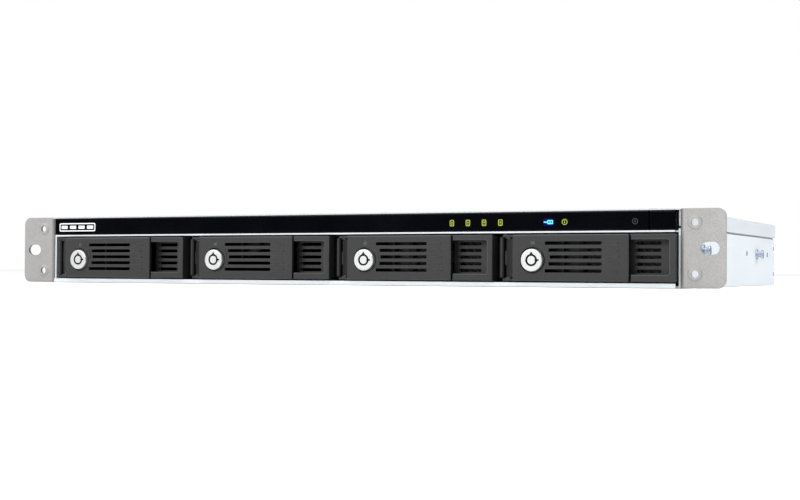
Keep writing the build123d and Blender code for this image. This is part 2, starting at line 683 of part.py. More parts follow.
def make_tray():
    """Side rails, thin floor and front cross frame that carry one drive."""
    mid = BAY_PITCH / 2
    y0 = MESH_Y + MESH_T
    tray = block(mid - TRAY_HALF_W, mid + TRAY_HALF_W, y0, y0 + 2, TRAY_Z0, TRAY_Z1 - 0.2)
    tray -= block(MESH_X0 + 1, mid + RAIL_INNER - 7, y0 - 1, y0 + 3, TRAY_Z0 + 4, TRAY_Z1 - 4)
    floor = block(mid - RAIL_INNER, mid + RAIL_INNER, y0 + 2, TRAY_DEPTH - 2, TRAY_Z0, TRAY_Z0 + 0.6)
    for step in range(3):
        hole = Pos(mid, y0 + 30 + 44 * step) * RectangleRounded(76, 34, 6)
        floor -= flat_plate(hole, TRAY_Z0 - 1, TRAY_Z0 + 1)
    tray += floor
    for side in (-1, 1):
        rail_x = sorted((mid + side * TRAY_HALF_W, mid + side * RAIL_INNER))
        rail = block(*rail_x, y0, TRAY_DEPTH, TRAY_Z0, TRAY_Z1 - 0.2)
        for hole_y in (DRIVE_FRONT + 28.5, DRIVE_FRONT + 130.1):
            rail -= rod_x(hole_y, TRAY_Z0 + 7.1, 1.9, rail_x[0] - 1, rail_x[1] + 1)
        window = Pos(DRIVE_FRONT + 80, TRAY_MID) * RectangleRounded(60, 9, 4)
        rail -= side_plate(window, rail_x[0] - 1, rail_x[1] + 1)
        tray += rail
    return tray


def make_tray_bezel():
    """Black front frame: hinge bar and lugs on the left, finger recess on the right."""
    wall = 1.2
    z_low, z_high = TRAY_Z0 + 0.1, TRAY_Z1 - 0.1
    lever_clear = LEVER_BACK + 0.4
    bezel = block(RECESS_X0, FRAME_X1, FRONT_Y, MESH_Y, z_low, z_high)
    bezel = fillet(edges_at(bezel, Axis.Y, FRONT_Y), 0.55)
    opening = rect(RECESS_X0 - 4, RECESS_X1, RECESS_Z0, RECESS_Z1, 1.4)
    bezel -= front_plate(opening, FRONT_Y - 1, RECESS_FLOOR_Y)
    step = 0.5
    rim = rect(RECESS_X0 - 4, RECESS_X1 + step, RECESS_Z0 - step, RECESS_Z1 + step, 1.8)
    bezel -= front_plate(rim, FRONT_Y - 1, FRONT_Y + step)
    floor_y1 = RECESS_FLOOR_Y + RECESS_FLOOR_T
    bezel -= block(RECESS_X0 - 1, RECESS_X1, floor_y1, MESH_Y + 1, RECESS_Z0, RECESS_Z1)
    for row_z in SLOT_ROW_Z:
        slot = Pos(RECESS_X0 + 0.2 + RECESS_SLOT_L / 2, row_z) * SlotOverall(RECESS_SLOT_L, SLOT_H)
        bezel -= front_plate(slot, RECESS_FLOOR_Y - 1, floor_y1 + 1)
    # the walls above and below the lever, and the sheet that carries them
    for z0, z1 in ((z_low, z_low + wall), (z_high - wall, z_high)):
        bezel += block(HINGE_X - 3, RECESS_X0 + 1, lever_clear, MESH_Y, z0, z1)
    sheet = block(BAR_X0, RECESS_X0 + 1, MESH_Y - 2, MESH_Y, z_low, z_high)
    window = block(HINGE_X + 5, RECESS_X0 - 3, MESH_Y - 3, MESH_Y + 1, z_low + wall, z_high - wall)
    bezel += sheet - window
    bezel += block(RIB_X - 0.7, RIB_X + 0.7, MESH_Y - 4.5, MESH_Y, z_low, z_high)
    # hinge bar with bevelled ends
    bar = block(BAR_X0, BAR_X1, 0.5, MESH_Y, z_low + 1.6, z_high - 1.2)
    bar = chamfer(edges_at(bar, Axis.Y, 0.5), 0.7)
    bezel += bar
    # lugs that hold the hinge pin's ends
    for z0, z1 in ((z_low, BARREL_Z0 - 0.3), (BARREL_Z1 + 0.3, z_high)):
        bezel += rod_z(HINGE_X, HINGE_Y, LUG_R, z0, z1)
        bezel += block(HINGE_X - LUG_R, HINGE_X + LUG_R, HINGE_Y, MESH_Y, z0, z1)
    bezel -= rod_z(HINGE_X, HINGE_Y, PIN_R + 0.02, z_low - 1, z_high + 1)
    return bezel


def make_tray_mesh():
    """Honeycomb air grille behind the lever."""
    z0, z1 = TRAY_Z0 + 1.0, TRAY_Z1 - 1.2
    plate = block(MESH_X0, MESH_X1, MESH_Y, MESH_Y + MESH_T, z0, z1)
    cells = honeycomb(MESH_X0 + 1, MESH_X1 - 1, z0 + 1, z1 - 1, HEX_PITCH, HEX_WEB)
    return plate - front_plate(cells, MESH_Y - 1, MESH_Y + MESH_T + 1)


def slot_left_end(row_z):
    """Where a slot row starts, on an arc around the lock."""
    rise = row_z - SLOT_MID_Z
    return SLOT_ARC_X + sqrt(SLOT_ARC_R ** 2 - rise ** 2)


def slot_run(x0, x1, z, height):
    """A slot outline with a square left end and a round right end."""
    outline = rect(x0, x1 - height / 2, z - height / 2, z + height / 2)
    return outline + Pos(x1 - height / 2, z) * Circle(height / 2)


def make_lever():
    """Swinging front plate with air slots, a lock boss, a hinge barrel and its arm."""
    plate = block(LEVER_X0, LEVER_X1, FRONT_Y, LEVER_BACK, LEVER_Z0, LEVER_Z1)
    plate = fillet(plate.edges().filter_by(Axis.Y), 0.7)
    plate = chamfer(edges_at(plate, Axis.Y, FRONT_Y), LEVER_EDGE)
    slots = Sketch()
    grooves = Sketch()
    for row_z in SLOT_ROW_Z:
        slots += slot_run(slot_left_end(row_z), SLOT_END_X, row_z, SLOT_H)
        outer = slot_run(SLOT_END_X - 2, GROOVE_END_X, row_z, SLOT_H)
        grooves += outer - slot_run(SLOT_END_X - 3, GROOVE_END_X - GROOVE_W, row_z, SLOT_H - 2 * GROOVE_W)
    # lock boss, with stiffening ribs behind the plate
    lever = plate + rod_y(LOCK_X, LOCK_Z, LOCK_BODY_R + LOCK_BOSS_WALL, LEVER_BACK, 0.4)
    for rib_x in (LEVER_X0 + 2.2, SLOT_END_X + 2.6):
        lever += block(rib_x, rib_x + 1.4, LEVER_BACK, LEVER_BACK + 1.2, BARREL_Z0, BARREL_Z1)
    lever -= front_plate(slots, FRONT_Y - 1, LEVER_BACK + 1)
    lever -= front_plate(grooves, FRONT_Y - 1, FRONT_Y + GROOVE_DEPTH)
    lever -= rod_y(LOCK_X, LOCK_Z, LOCK_BODY_R + LOCK_FIT, FRONT_Y - 1, 1)
    lever -= rod_y(LOCK_X, LOCK_Z, LOCK_RING_R, FRONT_Y - 1, FRONT_Y + LOCK_RING_DEPTH)
    # raised arc beside the lock
    ridge_r = SLOT_ARC_R - 1.6
    ring = Circle(ridge_r + 0.35) - Circle(ridge_r - 0.35)
    quarter = ring & rect(0.5, ridge_r + 1, -1.5, ridge_r + 1)
    ridge = Pos(SLOT_ARC_X, SLOT_MID_Z - 0.9) * quarter
    lever += front_plate(ridge, FRONT_Y - 0.25, FRONT_Y + 0.6) & block(
        LEVER_X0, LEVER_X1, FRONT_Y - 1, 0, LEVER_Z0, LEVER_Z1 - 1)
    # engraved padlock sign over the lock
    body = Pos(LOCK_X, LEVER_Z1 - 4.6) * Rectangle(2.8, 2.0)
    bow = Pos(LOCK_X, LEVER_Z1 - 3.6) * (Circle(1.05) - Circle(0.6))
    sign = body + (bow & rect(LOCK_X - 2, LOCK_X + 2, LEVER_Z1 - 3.7, LEVER_Z1))
    lever -= front_plate(sign, FRONT_Y - 1, FRONT_Y + 0.3)
    # hinge barrel and the arm that joins it to the plate
    arm = Polygon(
        (HINGE_X - 1.0, HINGE_Y - 1.2),
        (LEVER_X0 + 0.4, LEVER_BACK - 1.4),
        (LEVER_X0 + 4.0, LEVER_BACK + 0.05),
        (HINGE_X + 1.2, HINGE_Y + 1.0),
        align=None,
    )
    lever += flat_plate(arm, BARREL_Z0, BARREL_Z1)
    lever += rod_z(HINGE_X, HINGE_Y, BARREL_R, BARREL_Z0, BARREL_Z1)
    # short claw behind the barrel
    claw = block(HINGE_X - 2.5, HINGE_X, HINGE_Y + 0.2, HINGE_Y + 1.4, TRAY_MID - 4, TRAY_MID + 4)
    lever += claw
    return lever - rod_z(HINGE_X, HINGE_Y, PIN_R + PIN_FIT, BARREL_Z0 - 1, BARREL_Z1 + 1)


def make_lock():
    """Tubular key lock: bright face with a ring keyway, body and rear cam."""
    y0 = FRONT_Y - LOCK_PROUD
    face = rod_y(LOCK_X, LOCK_Z, LOCK_FACE_R, y0, FRONT_Y + LOCK_RING_DEPTH - 0.15)
    face = fillet(face.edges().group_by(Axis.Y)[0], 0.6)
    lock = face + rod_y(LOCK_X, LOCK_Z, LOCK_BODY_R, FRONT_Y, 1.2)
    key_y = (y0 - 1, y0 + KEYWAY_DEPTH)
    keyway = rod_y(LOCK_X, LOCK_Z, KEYWAY_R, *key_y) - rod_y(LOCK_X, LOCK_Z, KEY_POST_R, *key_y)
    notch = Polygon((-1.1, 0), (1.1, 0), (0, 1.7), align=None)
    keyway += front_plate(Pos(LOCK_X, LOCK_Z + KEYWAY_R - 0.2) * notch, y0 - 1, y0 + 0.8)
    edge_x = LOCK_X + KEYWAY_R
    keyway += block(edge_x - 1.4, edge_x + 1.0, *key_y, LOCK_Z - 0.5, LOCK_Z + 0.5)
    lock -= keyway
    arm = Circle(CAM_R) + Pos(-CAM_LEN / 2, 0) * Rectangle(CAM_LEN, CAM_W)
    return lock + front_plate(Pos(LOCK_X, LOCK_Z) * arm, 1.2, 1.2 + CAM_T)


def make_hinge_pin():
    """Steel pin through the lugs and the lever's barrel."""
    pin = rod_z(HINGE_X, HINGE_Y, PIN_R, TRAY_Z0 + 0.2, TRAY_Z1 - 0.2)
    return chamfer(pin.edges(), 0.2)


def make_drive():
    """3.5-inch hard drive: cast body with a stepped cover and a board pocket below."""
    mid = BAY_PITCH / 2
    half = DRIVE_W / 2
    y1 = DRIVE_FRONT + DRIVE_L
    z1 = DRIVE_Z0 + DRIVE_H
    drive = block(mid - half, mid + half, DRIVE_FRONT, y1, DRIVE_Z0, z1)
    drive = fillet(drive.edges().filter_by(Axis.Z), 2.0)
    step = rect(mid - half - 1, mid + half + 1, DRIVE_FRONT - 1, y1 + 1) - rect(
        mid - half + 3, mid + half - 3, DRIVE_FRONT + 3, y1 - 12, 6)
    drive -= flat_plate(step, z1 - 1.6, z1 + 1)
    drive -= block(mid - half + 6, mid + half - 6, y1 - 70, y1 - 3, DRIVE_Z0 - 1, DRIVE_Z0 + 1.5)
    drive -= block(mid - 42, mid + 14, y1 - 5, y1 + 1, DRIVE_Z0 - 1, DRIVE_Z0 + 5)
    for side in (-1, 1):
        for hole_y in (DRIVE_FRONT + 28.5, DRIVE_FRONT + 130.1):
            edge_x = sorted((mid + side * (half + 1), mid + side * (half - 4)))
            drive -= rod_x(hole_y, DRIVE_Z0 + 6.4, 1.5, *edge_x)
    return drive


# ---- backplane and rear half ---------------------------------------------------------------

def fan_screw_places(fan_x):
    """A fan's four corner holes."""
    spread = FAN_SIZE * 0.4
    return [(fan_x + sx * spread, FAN_MID_Z + sz * spread) for sx in (-1, 1) for sz in (-1, 1)]


def socket_spans():
    """Left side, right side and height of each data socket on the rear edge."""
    spans = [(x - NETWORK_W / 2, x + NETWORK_W / 2, NETWORK_H) for x in NETWORK_X]
    spans += [(x - USB_W / 2, x + USB_W / 2, USB_H) for x in USB_X]
    return spans


def make_backplane():
    """Upright board behind the drives, with air slots."""
    board = block(-INNER_HALF + 9, INNER_HALF - 9, CAGE_DEPTH, CAGE_DEPTH + BOARD_T, 4, ROOF_Z0 - 0.5)
    for bay in range(BAYS):
        mid = bay_left(bay) + BAY_PITCH / 2
        vent = Pos(mid + 8, TRAY_MID + 4.5) * RectangleRounded(60, 8, 3.9)
        board -= front_plate(vent, CAGE_DEPTH - 1, CAGE_DEPTH + 3)
    return board


def make_backplane_sockets():
    """Drive sockets facing the trays, and the supply plug at the rear."""
    pieces = []
    y0 = DRIVE_FRONT + DRIVE_L + 1.5
    for bay in range(BAYS):
        mid = bay_left(bay) + BAY_PITCH / 2
        body = block(mid - 36, mid + 10, y0, CAGE_DEPTH, DRIVE_Z0 + 0.5, DRIVE_Z0 + 6.5)
        body -= block(mid - 33, mid + 7, y0 - 1, y0 + 3, DRIVE_Z0 + 2.4, DRIVE_Z0 + 4.6)
        pieces.append(body)
    plug_y = CAGE_DEPTH + BOARD_T
    plug_x = [PSU_X0 + step for step in PSU_PLUG_STEPS]
    pieces.append(block(*plug_x, plug_y, plug_y + 9, 14, 24))
    return group(pieces)


def make_mainboard():
    """Main circuit board with its processor, chips and memory socket."""
    pieces = [block(*BOARD_X, *BOARD_Y, BOARD_Z0, BOARD_Z1)]
    for x, y in standoff_places():
        pieces[0] -= rod_z(x, y, 1.7, BOARD_Z0 - 1, BOARD_Z1 + 1)
    pieces.append(board_block(66, 90, 32, 56, 0, CHIP_H))
    for step in range(3):
        pieces.append(board_block(116 + 18 * step, 125 + 18 * step, 62, 75, 0, 1.2))
    for step in range(4):
        pieces.append(rod_z(BOARD_X[0] + 8 + 11 * step, BOARD_Y[0] + 67, 4, BOARD_Z1, BOARD_Z1 + 9))
    pieces.append(board_block(112, 164, 9, 15, 0, 6.0))
    return group(pieces)


def board_block(x0, x1, y0, y1, z0, z1):
    """A box placed from the main board's front left corner and its top face."""
    return Pos(BOARD_X[0], BOARD_Y[0], BOARD_Z1) * block(x0, x1, y0, y1, z0, z1)


def standoff_places():
    """Where the main board is screwed down."""
    xs = (BOARD_X[0] + 5, (BOARD_X[0] + BOARD_X[1]) / 2 + 20, BOARD_X[1] - 5)
    return [(x, y) for x in xs for y in (BOARD_Y[0] + 5, BOARD_Y[1] - 30)]


def make_board_standoffs():
    """Hexagonal spacers with round-headed screws."""
    spacers = []
    for x, y in standoff_places():
        spacer = flat_plate(Pos(x, y) * RegularPolygon(3.0, 6), SHEET, BOARD_Z0)
        spacer += rod_z(x, y, 1.5, BOARD_Z0 - 1, BOARD_Z1 + 0.5)
        spacers.append(spacer + rod_z(x, y, 2.8, BOARD_Z1, BOARD_Z1 + 1.4))
    return group(spacers)


def make_heatsink():
    """Finned aluminium block over the processor."""
    sink = board_block(53, 103, 22, 66, CHIP_H, CHIP_H + 4)
    for fin in range(11):
        mid = 53.9 + 4.82 * fin
        sink += board_block(mid - 0.6, mid + 0.6, 22, 66, CHIP_H + 4, CHIP_H + 24)
    return sink


def make_memory_module():
    """Small memory board lying in its socket."""
    card = board_block(104.8, 169.8, 15.2, 43, 2.2, 3.4)
    chips = [board_block(110 + 16 * n, 120 + 16 * n, 21, 35, 3.4, 4.5) for n in range(4)]
    return group([card] + chips)


def make_lan_ports():
    """Two shielded network sockets."""
    pieces = []
    for x in NETWORK_X:
        shell = block(x - NETWORK_W / 2, x + NETWORK_W / 2, REAR_Y - 20.5, REAR_Y + SOCKET_PROUD,
                      BOARD_Z1, BOARD_Z1 + NETWORK_H)
        mouth = rect(x - 6.0, x + 6.0, BOARD_Z1 + 1.6, BOARD_Z1 + 8.9)
        mouth += rect(x - 3.2, x + 3.2, BOARD_Z1 + 8.8, BOARD_Z1 + 11.4)
        shell -= front_plate(mouth, REAR_Y - 12, REAR_Y + 2)
        pieces.append(shell)
    return group(pieces)


def make_usb_ports():
    """Four flat data sockets, each a shell with a tongue."""
    pieces = []
    for x in USB_X:
        z0 = BOARD_Z1
        shell = block(x - USB_W / 2, x + USB_W / 2, REAR_Y - 14, REAR_Y + SOCKET_PROUD, z0, z0 + USB_H)
        shell -= block(x - 6.1, x + 6.1, REAR_Y - 11, REAR_Y + 2, z0 + 1.0, z0 + 6.0)
        tongue = block(x - 5.5, x + 5.5, REAR_Y - 11, REAR_Y - 1.5, z0 + 3.6, z0 + 5.4)
        pieces.append(shell + tongue)
    return group(pieces)


def make_reset_button():
    """Small recessed button on a lever switch's plunger."""
    y1 = REAR_Y - 0.6
    button = rod_y(RESET_X, RESET_Z, RESET_R, REAR_Y - 4.4, y1)
    return fillet(button.edges().group_by(Axis.Y)[-1], 0.3)


def make_reset_switch():
    """Body of the reset switch, fixed to the main board."""
    body = block(RESET_X - 3.5, RESET_X + 3.5, REAR_Y - 12, REAR_Y - 3.6, BOARD_Z1, RESET_Z + 3.2)
    return body - rod_y(RESET_X, RESET_Z, RESET_R + 0.1, REAR_Y - 7.5, REAR_Y)


def make_psu_case():
    """Power supply: five steel sheets, the front one perforated, around its board and parts."""
    x0, x1 = PSU_X0, PSU_X1
    y0, y1 = REAR_Y - SHEET - PSU_L, REAR_Y - SHEET - 0.2
    z0, z1 = SHEET, PSU_Z1
    wall = PSU_WALL
    between_z = (z0 + wall + JOIN_GAP, z1 - wall - JOIN_GAP)
    case = [block(x0, x1, y0, y1, z0, z0 + wall), block(x0, x1, y0, y1, z1 - wall, z1)]
    for side_x in ((x0, x0 + wall), (x1 - wall, x1)):
        case.append(block(*side_x, y0 + wall + JOIN_GAP, y1, *between_z))
    cells = honeycomb(x0 + 6, x1 - 6, z0 + 5, z1 - 5, 5.2, 1.2)
    case.append(block(x0, x1, y0, y0 + wall, *between_z) - front_plate(cells, y0 - 1, y0 + 2))
    board_top = z0 + wall + BOARD_T
    inside = [block(x0 + 4, x1 - 4, y0 + 6, y1 - 26, z0 + wall, board_top)]
    inside.append(block(x0 + 12, x0 + 44, y0 + 30, y0 + 60, board_top, board_top + 26))
    for step in range(3):
        inside.append(rod_z(x0 + 62, y0 + 18 + 20 * step, 8, board_top, board_top + 24))
    return group(case + inside)


def make_psu_inlet():
    """Mains inlet: a flanged well with three blades."""
    x = INLET_X
    y1 = REAR_Y
    half_w, half_h = INLET_W / 2, INLET_H / 2
    body = block(x - half_w, x + half_w, y1 - 20, y1, INLET_Z - half_h, INLET_Z + half_h)
    flange_z = (INLET_Z - half_h - INLET_FLANGE, INLET_Z + half_h + INLET_FLANGE)
    body += block(x - half_w - INLET_FLANGE, x + half_w + INLET_FLANGE, y1, y1 + INLET_FLANGE_T, *flange_z)
    well = rect(x - 12.2, x + 12.2, INLET_Z - 8.2, INLET_Z + 8.2, 1.5)
    cut = rect(x - 14, x + 14, INLET_Z - 9, INLET_Z + 9)
    for side in (-1, 1):
        corner = Pos(x + side * 12.2, INLET_Z + 8.2) * Rot(0, 0, 45) * Rectangle(5, 5)
        well -= corner
    body -= front_plate(well & cut, y1 - 16, y1 + 2)
    for dx, dz in ((-7.0, -2.0), (0.0, 2.0), (7.0, -2.0)):
        body += block(x + dx - 1.0, x + dx + 1.0, y1 - 18, y1 - 4, INLET_Z + dz - 2, INLET_Z + dz + 2)
    return body


def make_fan_frames():
    """Square fan housings, with the motor hub's seat held on four spokes."""
    frames = []
    y0, y1 = FAN_Y0, FAN_Y1
    mid_z = FAN_MID_Z
    half = FAN_SIZE / 2
    spoke_l = FAN_BORE_R - FAN_HUB_R + 2
    for fan_x in FAN_CENTRES_X:
        frame = block(fan_x - half, fan_x + half, y0, y1, mid_z - half, mid_z + half)
        frame = fillet(frame.edges().filter_by(Axis.Y), 2.5)
        frame -= rod_y(fan_x, mid_z, FAN_BORE_R, y0 - 1, y1 + 1)
        for x, z in fan_screw_places(fan_x):
            frame -= rod_y(x, z, 1.75, y0 - 1, y1 + 1)
        spokes = Sketch()
        for step in range(4):
            spoke = Pos(FAN_HUB_R + spoke_l / 2 - 1, 0) * Rectangle(spoke_l, 1.6)
            spokes += Rot(0, 0, 45 + 90 * step) * spoke
        seat = front_plate(Pos(fan_x, mid_z) * (Circle(FAN_HUB_R + 0.5) + spokes), y0, y0 + 2.2)
        frame += seat & rod_y(fan_x, mid_z, FAN_BORE_R + 0.4, y0, y0 + 3)
        frame += rod_y(fan_x, mid_z, FAN_SHAFT_R, y0 + 2.2, y0 + 12)
        frames.append(frame)
    return group(frames)


def make_fan_rotor(fan_x):
    """Hub with twisted blades, turning on the housing's spindle."""
    y0 = FAN_Y0 + 2.8
    root = FAN_HUB_R - 1
    tip = FAN_BORE_R - BLADE_TIP_GAP
    hub = rod_y(fan_x, FAN_MID_Z, FAN_HUB_R, y0, y0 + 15)
    hub = fillet(hub.edges().group_by(Axis.Y)[-1], 1.0)
    hub -= rod_y(fan_x, FAN_MID_Z, FAN_SHAFT_R + FAN_SHAFT_FIT, y0 - 1, y0 + 10)
    for blade in range(FAN_BLADES):
        wing = Pos((root + tip) / 2, 0, 0) * Rot(BLADE_PITCH, 0, 0) * Box(tip - root, 16, 1.1)
        wing = wing & Rot(90, 0, 0) * Cylinder(tip, 14)
        hub += Pos(fan_x, y0 + 7.5, FAN_MID_Z) * Rot(0, 360 / FAN_BLADES * blade, 0) * wing
    return hub


# ---- write every node ----------------------------------------------------------------------

def save(name, shape):
    """Move a finished node to the unit's own origin and write it."""
    export_step(Pos(0, EAR_FACE_Y, 0) * shape, "parts/" + name + ".step")


def main():
    os.makedirs("parts", exist_ok=True)
    save("base_pan", make_base_pan())
    save("top_cover", make_top_cover())
    save("lid_screws", make_lid_screws())
    save("cover_strap", make_cover_strap())
    save("bay_roof", make_bay_roof())
    save("bay_dividers", make_bay_dividers())
    save("guide_rails", make_guide_rails())
    save("rear_panel", make_rear_panel())
    save("ear_left", make_ear(-1))
    save("ear_right", make_ear(1))
    save("ear_screws", make_ear_screws())
    save("rail_studs", make_rail_studs())
    save("front_panel", make_front_panel())
    save("bezel_frame", make_bezel_frame())
    save("indicator_windows", make_indicator_windows())
    save("led_board", make_led_board())
    save("power_button", make_power_button())
    save("backplane", make_backplane())
    save("backplane_sockets", make_backplane_sockets())
    save("mainboard", make_mainboard())
    save("board_standoffs", make_board_standoffs())
    save("heatsink", make_heatsink())
    save("memory_module", make_memory_module())
    save("lan_ports", make_lan_ports())
    save("usb_ports", make_usb_ports())
    save("reset_button", make_reset_button())
    save("reset_switch", make_reset_switch())
    save("psu_case", make_psu_case())
    save("psu_inlet", make_psu_inlet())
    save("fan_frames", make_fan_frames())
    for number, fan_x in enumerate(FAN_CENTRES_X, start=1):
        save(f"fan_rotor_{number}", make_fan_rotor(fan_x))
    tray_pieces = {
        "tray": make_tray(),
        "tray_bezel": make_tray_bezel(),
        "tray_mesh": make_tray_mesh(),
        "lever": make_lever(),
        "lock": make_lock(),
        "hinge_pin": make_hinge_pin(),
        "drive": make_drive(),
    }
    for bay in range(BAYS):
        for name, piece in tray_pieces.items():
            save(f"{name}_{bay + 1}", Pos(bay_left(bay), 0, 0) * piece)


if __name__ == "__main__":
    main()
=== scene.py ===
"""Looks for a short-depth rack storage unit, laid out as an add-on and run as a script."""
import json
import math

import bpy
from bpy.props import FloatProperty, FloatVectorProperty, PointerProperty
from bpy.types import Operator, Panel, PropertyGroup
from mathutils import Matrix, Vector


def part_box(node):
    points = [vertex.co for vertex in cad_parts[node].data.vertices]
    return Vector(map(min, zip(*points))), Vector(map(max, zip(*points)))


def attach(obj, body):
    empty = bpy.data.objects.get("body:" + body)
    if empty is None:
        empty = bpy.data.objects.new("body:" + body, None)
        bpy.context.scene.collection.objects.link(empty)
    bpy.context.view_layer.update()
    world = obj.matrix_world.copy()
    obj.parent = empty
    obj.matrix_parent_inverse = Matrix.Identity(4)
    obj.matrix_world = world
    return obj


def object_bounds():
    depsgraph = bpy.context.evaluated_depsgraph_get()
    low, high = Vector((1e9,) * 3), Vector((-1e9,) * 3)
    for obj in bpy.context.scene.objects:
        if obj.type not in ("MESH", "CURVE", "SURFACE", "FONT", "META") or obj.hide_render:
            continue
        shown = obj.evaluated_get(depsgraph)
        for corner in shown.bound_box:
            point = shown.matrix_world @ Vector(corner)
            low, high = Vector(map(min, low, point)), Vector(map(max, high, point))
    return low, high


bl_info = {
    "name": "Rack storage unit looks",
    "version": (1, 0, 0),
    "blender": (4, 5, 0),
    "location": "View3D > Sidebar > Rack unit",
    "description": "Finishes, printed marks, lit signs and small fittings for a rack storage unit",
    "category": "Object",
}

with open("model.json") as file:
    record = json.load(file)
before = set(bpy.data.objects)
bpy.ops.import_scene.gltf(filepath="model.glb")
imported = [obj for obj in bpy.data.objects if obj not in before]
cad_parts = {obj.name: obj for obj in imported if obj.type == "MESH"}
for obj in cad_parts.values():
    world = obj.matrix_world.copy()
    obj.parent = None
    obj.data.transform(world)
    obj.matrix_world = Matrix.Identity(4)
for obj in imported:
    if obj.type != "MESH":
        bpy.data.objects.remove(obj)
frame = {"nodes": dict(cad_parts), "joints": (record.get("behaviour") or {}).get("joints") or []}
NODES = frame["nodes"]
CAD_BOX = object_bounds()
JOINTS = {joint["name"]: joint for joint in frame["joints"]}
BAYS = 4
MM = 0.001


# ---- places read from the frame ------------------------------------------------------------

def lock_axis(bay):
    """The point on a lock's axis, from its joint."""
    return Vector(JOINTS[f"lock_{bay}_turn"]["pos_m"])


BAY_PITCH = lock_axis(2).x - lock_axis(1).x
PANEL_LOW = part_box("front_panel")[0]
LOCK_FACE_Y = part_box("lock_1")[0].y
TRAY_FACE_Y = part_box("tray_bezel_1")[0].y
DRIVE_FACE_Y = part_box("drive_1")[0].y

# The signs are printed on the windows' front, at places measured from the two ends of their row.
WINDOW_LOW, WINDOW_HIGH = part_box("indicator_windows")
SIGN_Y = WINDOW_LOW.y
SIGN_Z = (WINDOW_LOW.z + WINDOW_HIGH.z) / 2
DRIVE_SIGN_INSET = 1.8 * MM
DRIVE_SIGN_PITCH = 10.2 * MM
SOCKET_SIGN_STEP = 61.9 * MM
STATUS_SIGN_STEP = 71.5 * MM
SPARE_SIGN_INSET = 2.1 * MM
DRIVE_SIGN_X = [WINDOW_LOW.x + DRIVE_SIGN_INSET + DRIVE_SIGN_PITCH * step for step in range(BAYS)]
SOCKET_SIGN_X = WINDOW_LOW.x + SOCKET_SIGN_STEP
STATUS_SIGN_X = WINDOW_LOW.x + STATUS_SIGN_STEP
SPARE_SIGN_X = WINDOW_HIGH.x - SPARE_SIGN_INSET

# The lower edge of the lid's side flanges, with the strip of painted shade about it.
SEAM_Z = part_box("top_cover")[0].z
SEAM_BELOW = 1.2 * MM
SEAM_ABOVE = 0.6 * MM
SEAM_SOFTNESS = 0.25 * MM

PRINT_DEPTH = 0.05 * MM
WELD_REACH = 0.002 * MM
FLOOR_DROP = 0.2 * MM
FLOOR_SIZE = 40.0


# ---- settings a user may change --------------------------------------------------------------

class RackSheetLook(PropertyGroup):
    """Zinc-coated sheet of the case."""
    tint: FloatVectorProperty(name="Tint", description="Colour of the zinc coat", subtype="COLOR",
                              size=3, min=0, max=1, default=(0.66, 0.69, 0.715))
    # Painted shade: the lid takes a darker copy of the zinc tint, so the overhead light does not wash it out.
    lid_shade: FloatProperty(name="Lid shade", description="The lid's brightness as a share of the tint",
                            subtype="FACTOR", min=0, max=1, default=0.76)
    gloss_spread: FloatProperty(name="Roughness", description="How broad the sheet's highlights are",
                                subtype="FACTOR", min=0, max=1, default=0.48)
    edge_round: FloatProperty(name="Edge round", description="Rounding of the cut sheet edges",
                              unit="LENGTH", min=0, default=0.18 * MM)


class RackEarLook(PropertyGroup):
    """Powder coat of the ears."""
    coat: FloatVectorProperty(name="Coat", description="Colour of the powder coat", subtype="COLOR",
                              size=3, min=0, max=1, default=(0.318, 0.311, 0.307))
    grain_size: FloatProperty(name="Grain size", description="Width of one grain of the coat",
                              unit="LENGTH", min=0.0001, default=0.55 * MM)


class RackBandLook(PropertyGroup):
    """Glossy band, its printed mark and its lit signs."""
    lacquer: FloatVectorProperty(name="Lacquer", description="Colour of the glossy band",
                                 subtype="COLOR", size=3, min=0, max=1, default=(0.0008, 0.0009, 0.0018))
    drive_lamp: FloatVectorProperty(name="Drive lamp", description="Colour of the lit drive signs",
                                    subtype="COLOR", size=3, min=0, max=1, default=(0.30, 0.36, 0.008))
    link_lamp: FloatVectorProperty(name="Socket lamp", description="Colour of the lit socket sign",
                                   subtype="COLOR", size=3, min=0, max=1, default=(0.07, 0.50, 1.0))
    status_lamp: FloatVectorProperty(name="Status lamp", description="Colour of the lit status sign",
                                     subtype="COLOR", size=3, min=0, max=1, default=(0.24, 0.30, 0.010))
    unlit_sign: FloatVectorProperty(name="Unlit sign", description="Colour of the spare sign",
                                    subtype="COLOR", size=3, min=0, max=1, default=(0.010, 0.010, 0.012))
    sign_width: FloatProperty(name="Sign width", description="Width of one drive sign",
                              unit="LENGTH", min=0.0001, default=2.6 * MM)
    sign_height: FloatProperty(name="Sign height", description="Height of one drive sign",
                               unit="LENGTH", min=0.0001, default=3.6 * MM)
    line: FloatProperty(name="Line", description="Width of a sign's lines", unit="LENGTH",
                        min=0.0001, default=0.34 * MM)


class RackTrayLook(PropertyGroup):
    """Moulded plastic of the trays and levers."""
    plastic: FloatVectorProperty(name="Plastic", description="Colour of the moulded plastic",
                                 subtype="COLOR", size=3, min=0, max=1, default=(0.0140, 0.0140, 0.0143))
    edge_round: FloatProperty(name="Edge round", description="Rounding of the moulded edges",
                              unit="LENGTH", min=0, default=0.22 * MM)


class RackStageLook(PropertyGroup):
    """Floor, lights and camera."""
    lens: FloatProperty(name="Lens", description="Focal length", unit="CAMERA", min=1, default=61.896)
    camera_at: FloatVectorProperty(name="Camera", description="Where the camera stands",
                                   subtype="TRANSLATION", size=3, default=(0.4010, -0.8885, 0.0085))
    turn: FloatProperty(name="Turn", description="Camera's turn to the left of the +Y axis",
                        subtype="ANGLE", default=math.radians(25.393))
    tilt: FloatProperty(name="Tilt", description="Camera's tilt above the horizon",
                        subtype="ANGLE", default=math.radians(0.888))
    roll: FloatProperty(name="Roll", description="Camera's roll about its own axis",
                        subtype="ANGLE", default=math.radians(0.312))
    floor_tone: FloatProperty(name="Floor tone", description="Brightness of the pale floor",
                              subtype="FACTOR", min=0, max=1, default=0.86)


